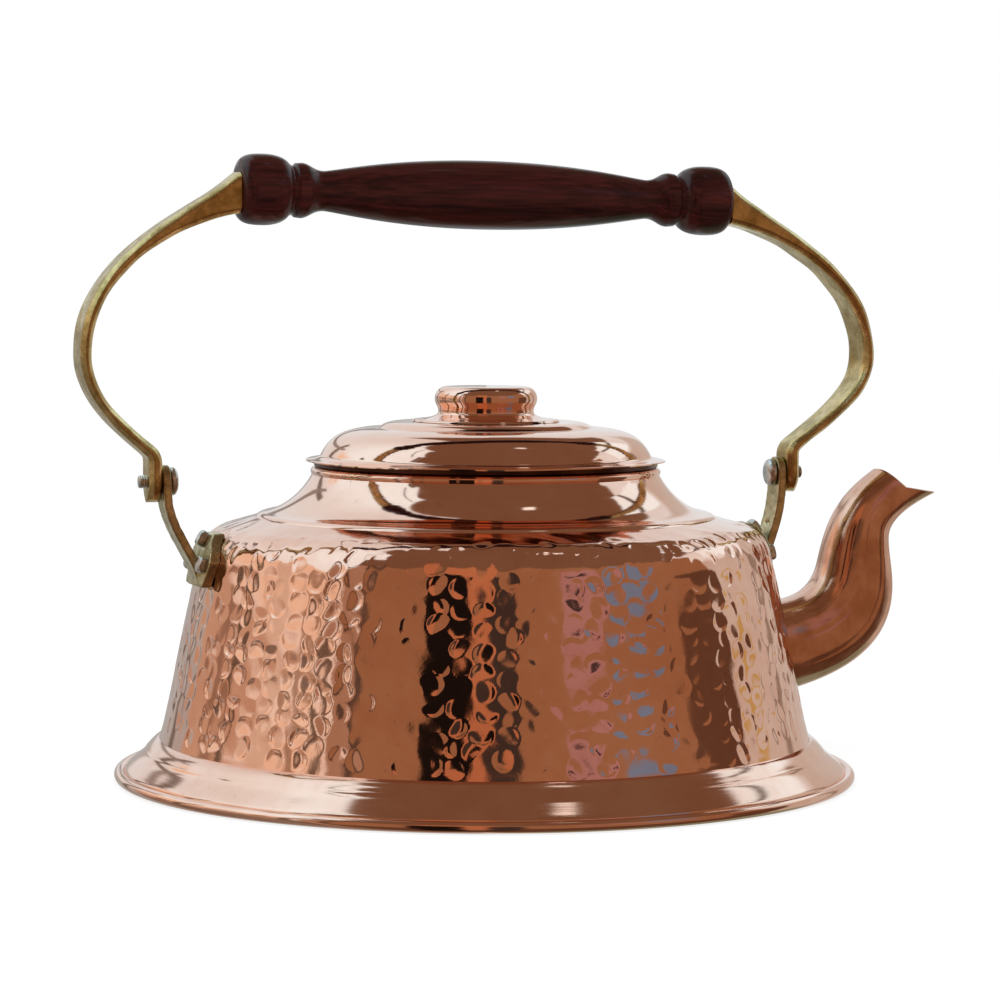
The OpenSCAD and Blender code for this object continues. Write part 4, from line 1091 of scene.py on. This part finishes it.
# %% Room of cards
WHITE, PALE, PEACH = (0.98, 1.18, 1.28), (0.80, 0.84, 0.86), (0.90, 0.70, 0.54)
TAN, BROWN, SHADE = (0.32, 0.16, 0.083), (0.19, 0.100, 0.058), (0.125, 0.062, 0.036)
ORANGE, BLACK = (0.48, 0.19, 0.09), (0.010, 0.007, 0.006)
CARDS = [
    # name, from and to in degrees round (0 is the camera's side, + is its right), from and to in height,
    # slant, softness of the edges, colour
    ("left_low", -165, -57, -90, -3, 0, 6, (0.25, 0.19, 0.15)),
    ("left_cloth", -165, -57, -3, 11, 0, 6, (0.57, 0.38, 0.27)),
    ("left_rail", -134, -57, 11, 25, 0, 7, PEACH),
    ("left_shade", -156, -150, -20, 16, 0, 3, (0.38, 0.29, 0.23)),
    ("left_hollow", -118, -111, -12, 9, 0, 3, (0.32, 0.20, 0.14)),
    ("left_sheet", -92, -82, 8, 26, -0.3, 5, (0.72, 0.58, 0.47)),
    ("left_dusk", -74, -69, -30, 18, 0, 3, (0.40, 0.27, 0.19)),
    ("far_left", -184, -132, -90, 5, 0, 4, (0.46, 0.46, 0.45)),
    ("far_left_pale", -184, -136, 5, 24, 0, 4, PALE),
    ("far_left_fold", -146, -141, -90, 30, 0, 2, (0.20, 0.17, 0.15)),
    ("right_cloth", 100, 168, -90, 24, 0, 4, (0.60, 0.54, 0.49)),
    ("right_fold", 132, 137, -90, 24, 0, 2, (0.30, 0.24, 0.20)),
    ("right_floor", 40, 172, -90, -30, 0, 6, (0.28, 0.33, 0.24)),
    ("ceiling", -184, 184, 67.5, 95, 0, 1.5, BROWN),
    ("back_left_ceiling", -184, -168, 38, 70, 0, 2, BROWN),
    ("back_right_ceiling", 166, 184, 36, 70, 0, 2, BROWN),
    ("right_ceiling", 60, 131, 29, 88, 0.24, 1.2, BROWN),
    ("far_right_ceiling", 130, 168, 46, 86, -0.44, 1.2, BROWN),
    ("front_high_ceiling", -74, -55, 64, 84, -0.72, 1.2, BROWN),
    ("left_wire", -92, -69, 66.0, 67.4, -0.75, 0.6, (0.12, 0.08, 0.06)),
    ("front_ceiling", -60, 92, 34, 70, 0, 1.2, BROWN),
    ("front_floor", -60, 100, -90, -20, 0, 3, SHADE),
    ("front_wall", -57, 100, -22, 36, 0, 1.2, TAN),
    ("left_seam", -178, -136, 5.4, 8.0, 0.48, 0.8, (0.30, 0.27, 0.25)),
    ("left_post", -108, -104, -60, 32, 0, 1.2, (0.14, 0.10, 0.07)),
    ("left_post_shelf", -92, -76, 0, 6, 0, 1.2, (0.24, 0.18, 0.14)),
    ("left_edge", -64, -60, -60, 52, 0, 1.2, (0.16, 0.11, 0.08)),
    ("left_strip", -57, -50, -60, 36, 0, 1.2, (0.40, 0.24, 0.16)),
    ("left_line", -50, -47, -40, 40, 0, 1.2, (0.09, 0.06, 0.045)),
    ("core_orange", -22, 3, 25, 42, 0, 2, ORANGE),
    ("core_black", -23, -6, -60, 26, 0, 1.2, BLACK),
    ("core_middle", -6, 1, -40, 25, 0, 1.2, ORANGE),
    ("core_grey", 1, 12, -60, 24, 0, 1.2, (0.050, 0.036, 0.030)),
    ("mauve_patch", 30, 46, 15, 30, 0, 1.2, (0.40, 0.21, 0.20)),
    ("mauve_hole", 34, 39, 20, 24, 0, 1, (0.05, 0.03, 0.03)),
    ("blue_patch", 51, 69, 16, 29, 0, 1.2, (0.17, 0.24, 0.37)),
    ("brown_patch", 79, 104, -60, 13, 0, 1.2, SHADE),
    ("window", 116, 151, 26, 45, 0, 1.2, WHITE),
    ("window_bar", 116, 151, 40, 42, -0.12, 0.8, (0.12, 0.08, 0.06)),
    ("ochre_patch", 110, 117, 4, 8, 0, 1.2, (0.54, 0.39, 0.14)),
    ("ceiling_lamp", 95, 114, 75.0, 78.6, 0, 0.8, (1.2, 1.25, 1.25)),
]


def room_paint():
    """White, with each card mixed over it inside its own ranges of turn and height, which may slant."""
    f = Finish("room_paint", "ShaderNodeEmission")
    way = f.add("ShaderNodeVectorMath", {"operation": "NORMALIZE"}, {0: f.place})
    x, y, z = way.axes()
    right = x * math.cos(CAMERA_TURN) - y * math.sin(CAMERA_TURN)
    near = -x * math.sin(CAMERA_TURN) - y * math.cos(CAMERA_TURN)
    turn = right.math("ARCTAN2", near) * math.degrees(1)
    height = z.math("ARCSINE") * math.degrees(1)
    colour = f.mix(turn.between(-130, 100, 60), PALE, WHITE)
    for name, left, far, low, high, slant, soft, card in CARDS:
        level = height - (turn - left) * slant if slant else height
        colour = f.mix(turn.between(left, far, soft) * level.between(low, high, soft), colour, card)
    f.set(Color=colour, Strength=1.0)
    return f.material


ROOM_R = 6000
turns, heights = np.meshgrid(around(64), np.linspace(-1.5, 1.5, 32))
dome_points = ROOM_R * np.stack([np.cos(heights) * np.cos(turns), np.cos(heights) * np.sin(turns),
                                 np.sin(heights)], -1)
room = grid_piece("room", [(dome_points, False)])
room.data.materials.append(room_paint())
room.visible_camera = room.visible_diffuse = room.visible_shadow = room.visible_transmission = False
print(len(CARDS), "cards in the room")

# %% Lamps
def soft_lamp(name, place, target, size, power):
    """A round area lamp at place, turned to face target and left out of reflections."""
    data = bpy.data.lights.new(name, "AREA")
    data.shape, data.size, data.energy = "DISK", size, power
    lamp = placed(name, data)
    place, target = np.array(place, float), np.array(target, float)
    lamp.location = place
    x, y, z = target - place
    lamp.rotation_euler = (math.atan2(math.hypot(x, y), -z), 0, math.atan2(-x, y))
    lamp.visible_glossy = False


soft_lamp("key", (-0.9, -1.2, 1.5), (0, 0, 0.1), 0.9, 14)
soft_lamp("fill", (1.2, -0.8, 0.9), (0, 0, 0.1), 0.9, 6)
bpy.context.scene.view_settings.view_transform = "Standard"
print("lamps ready")
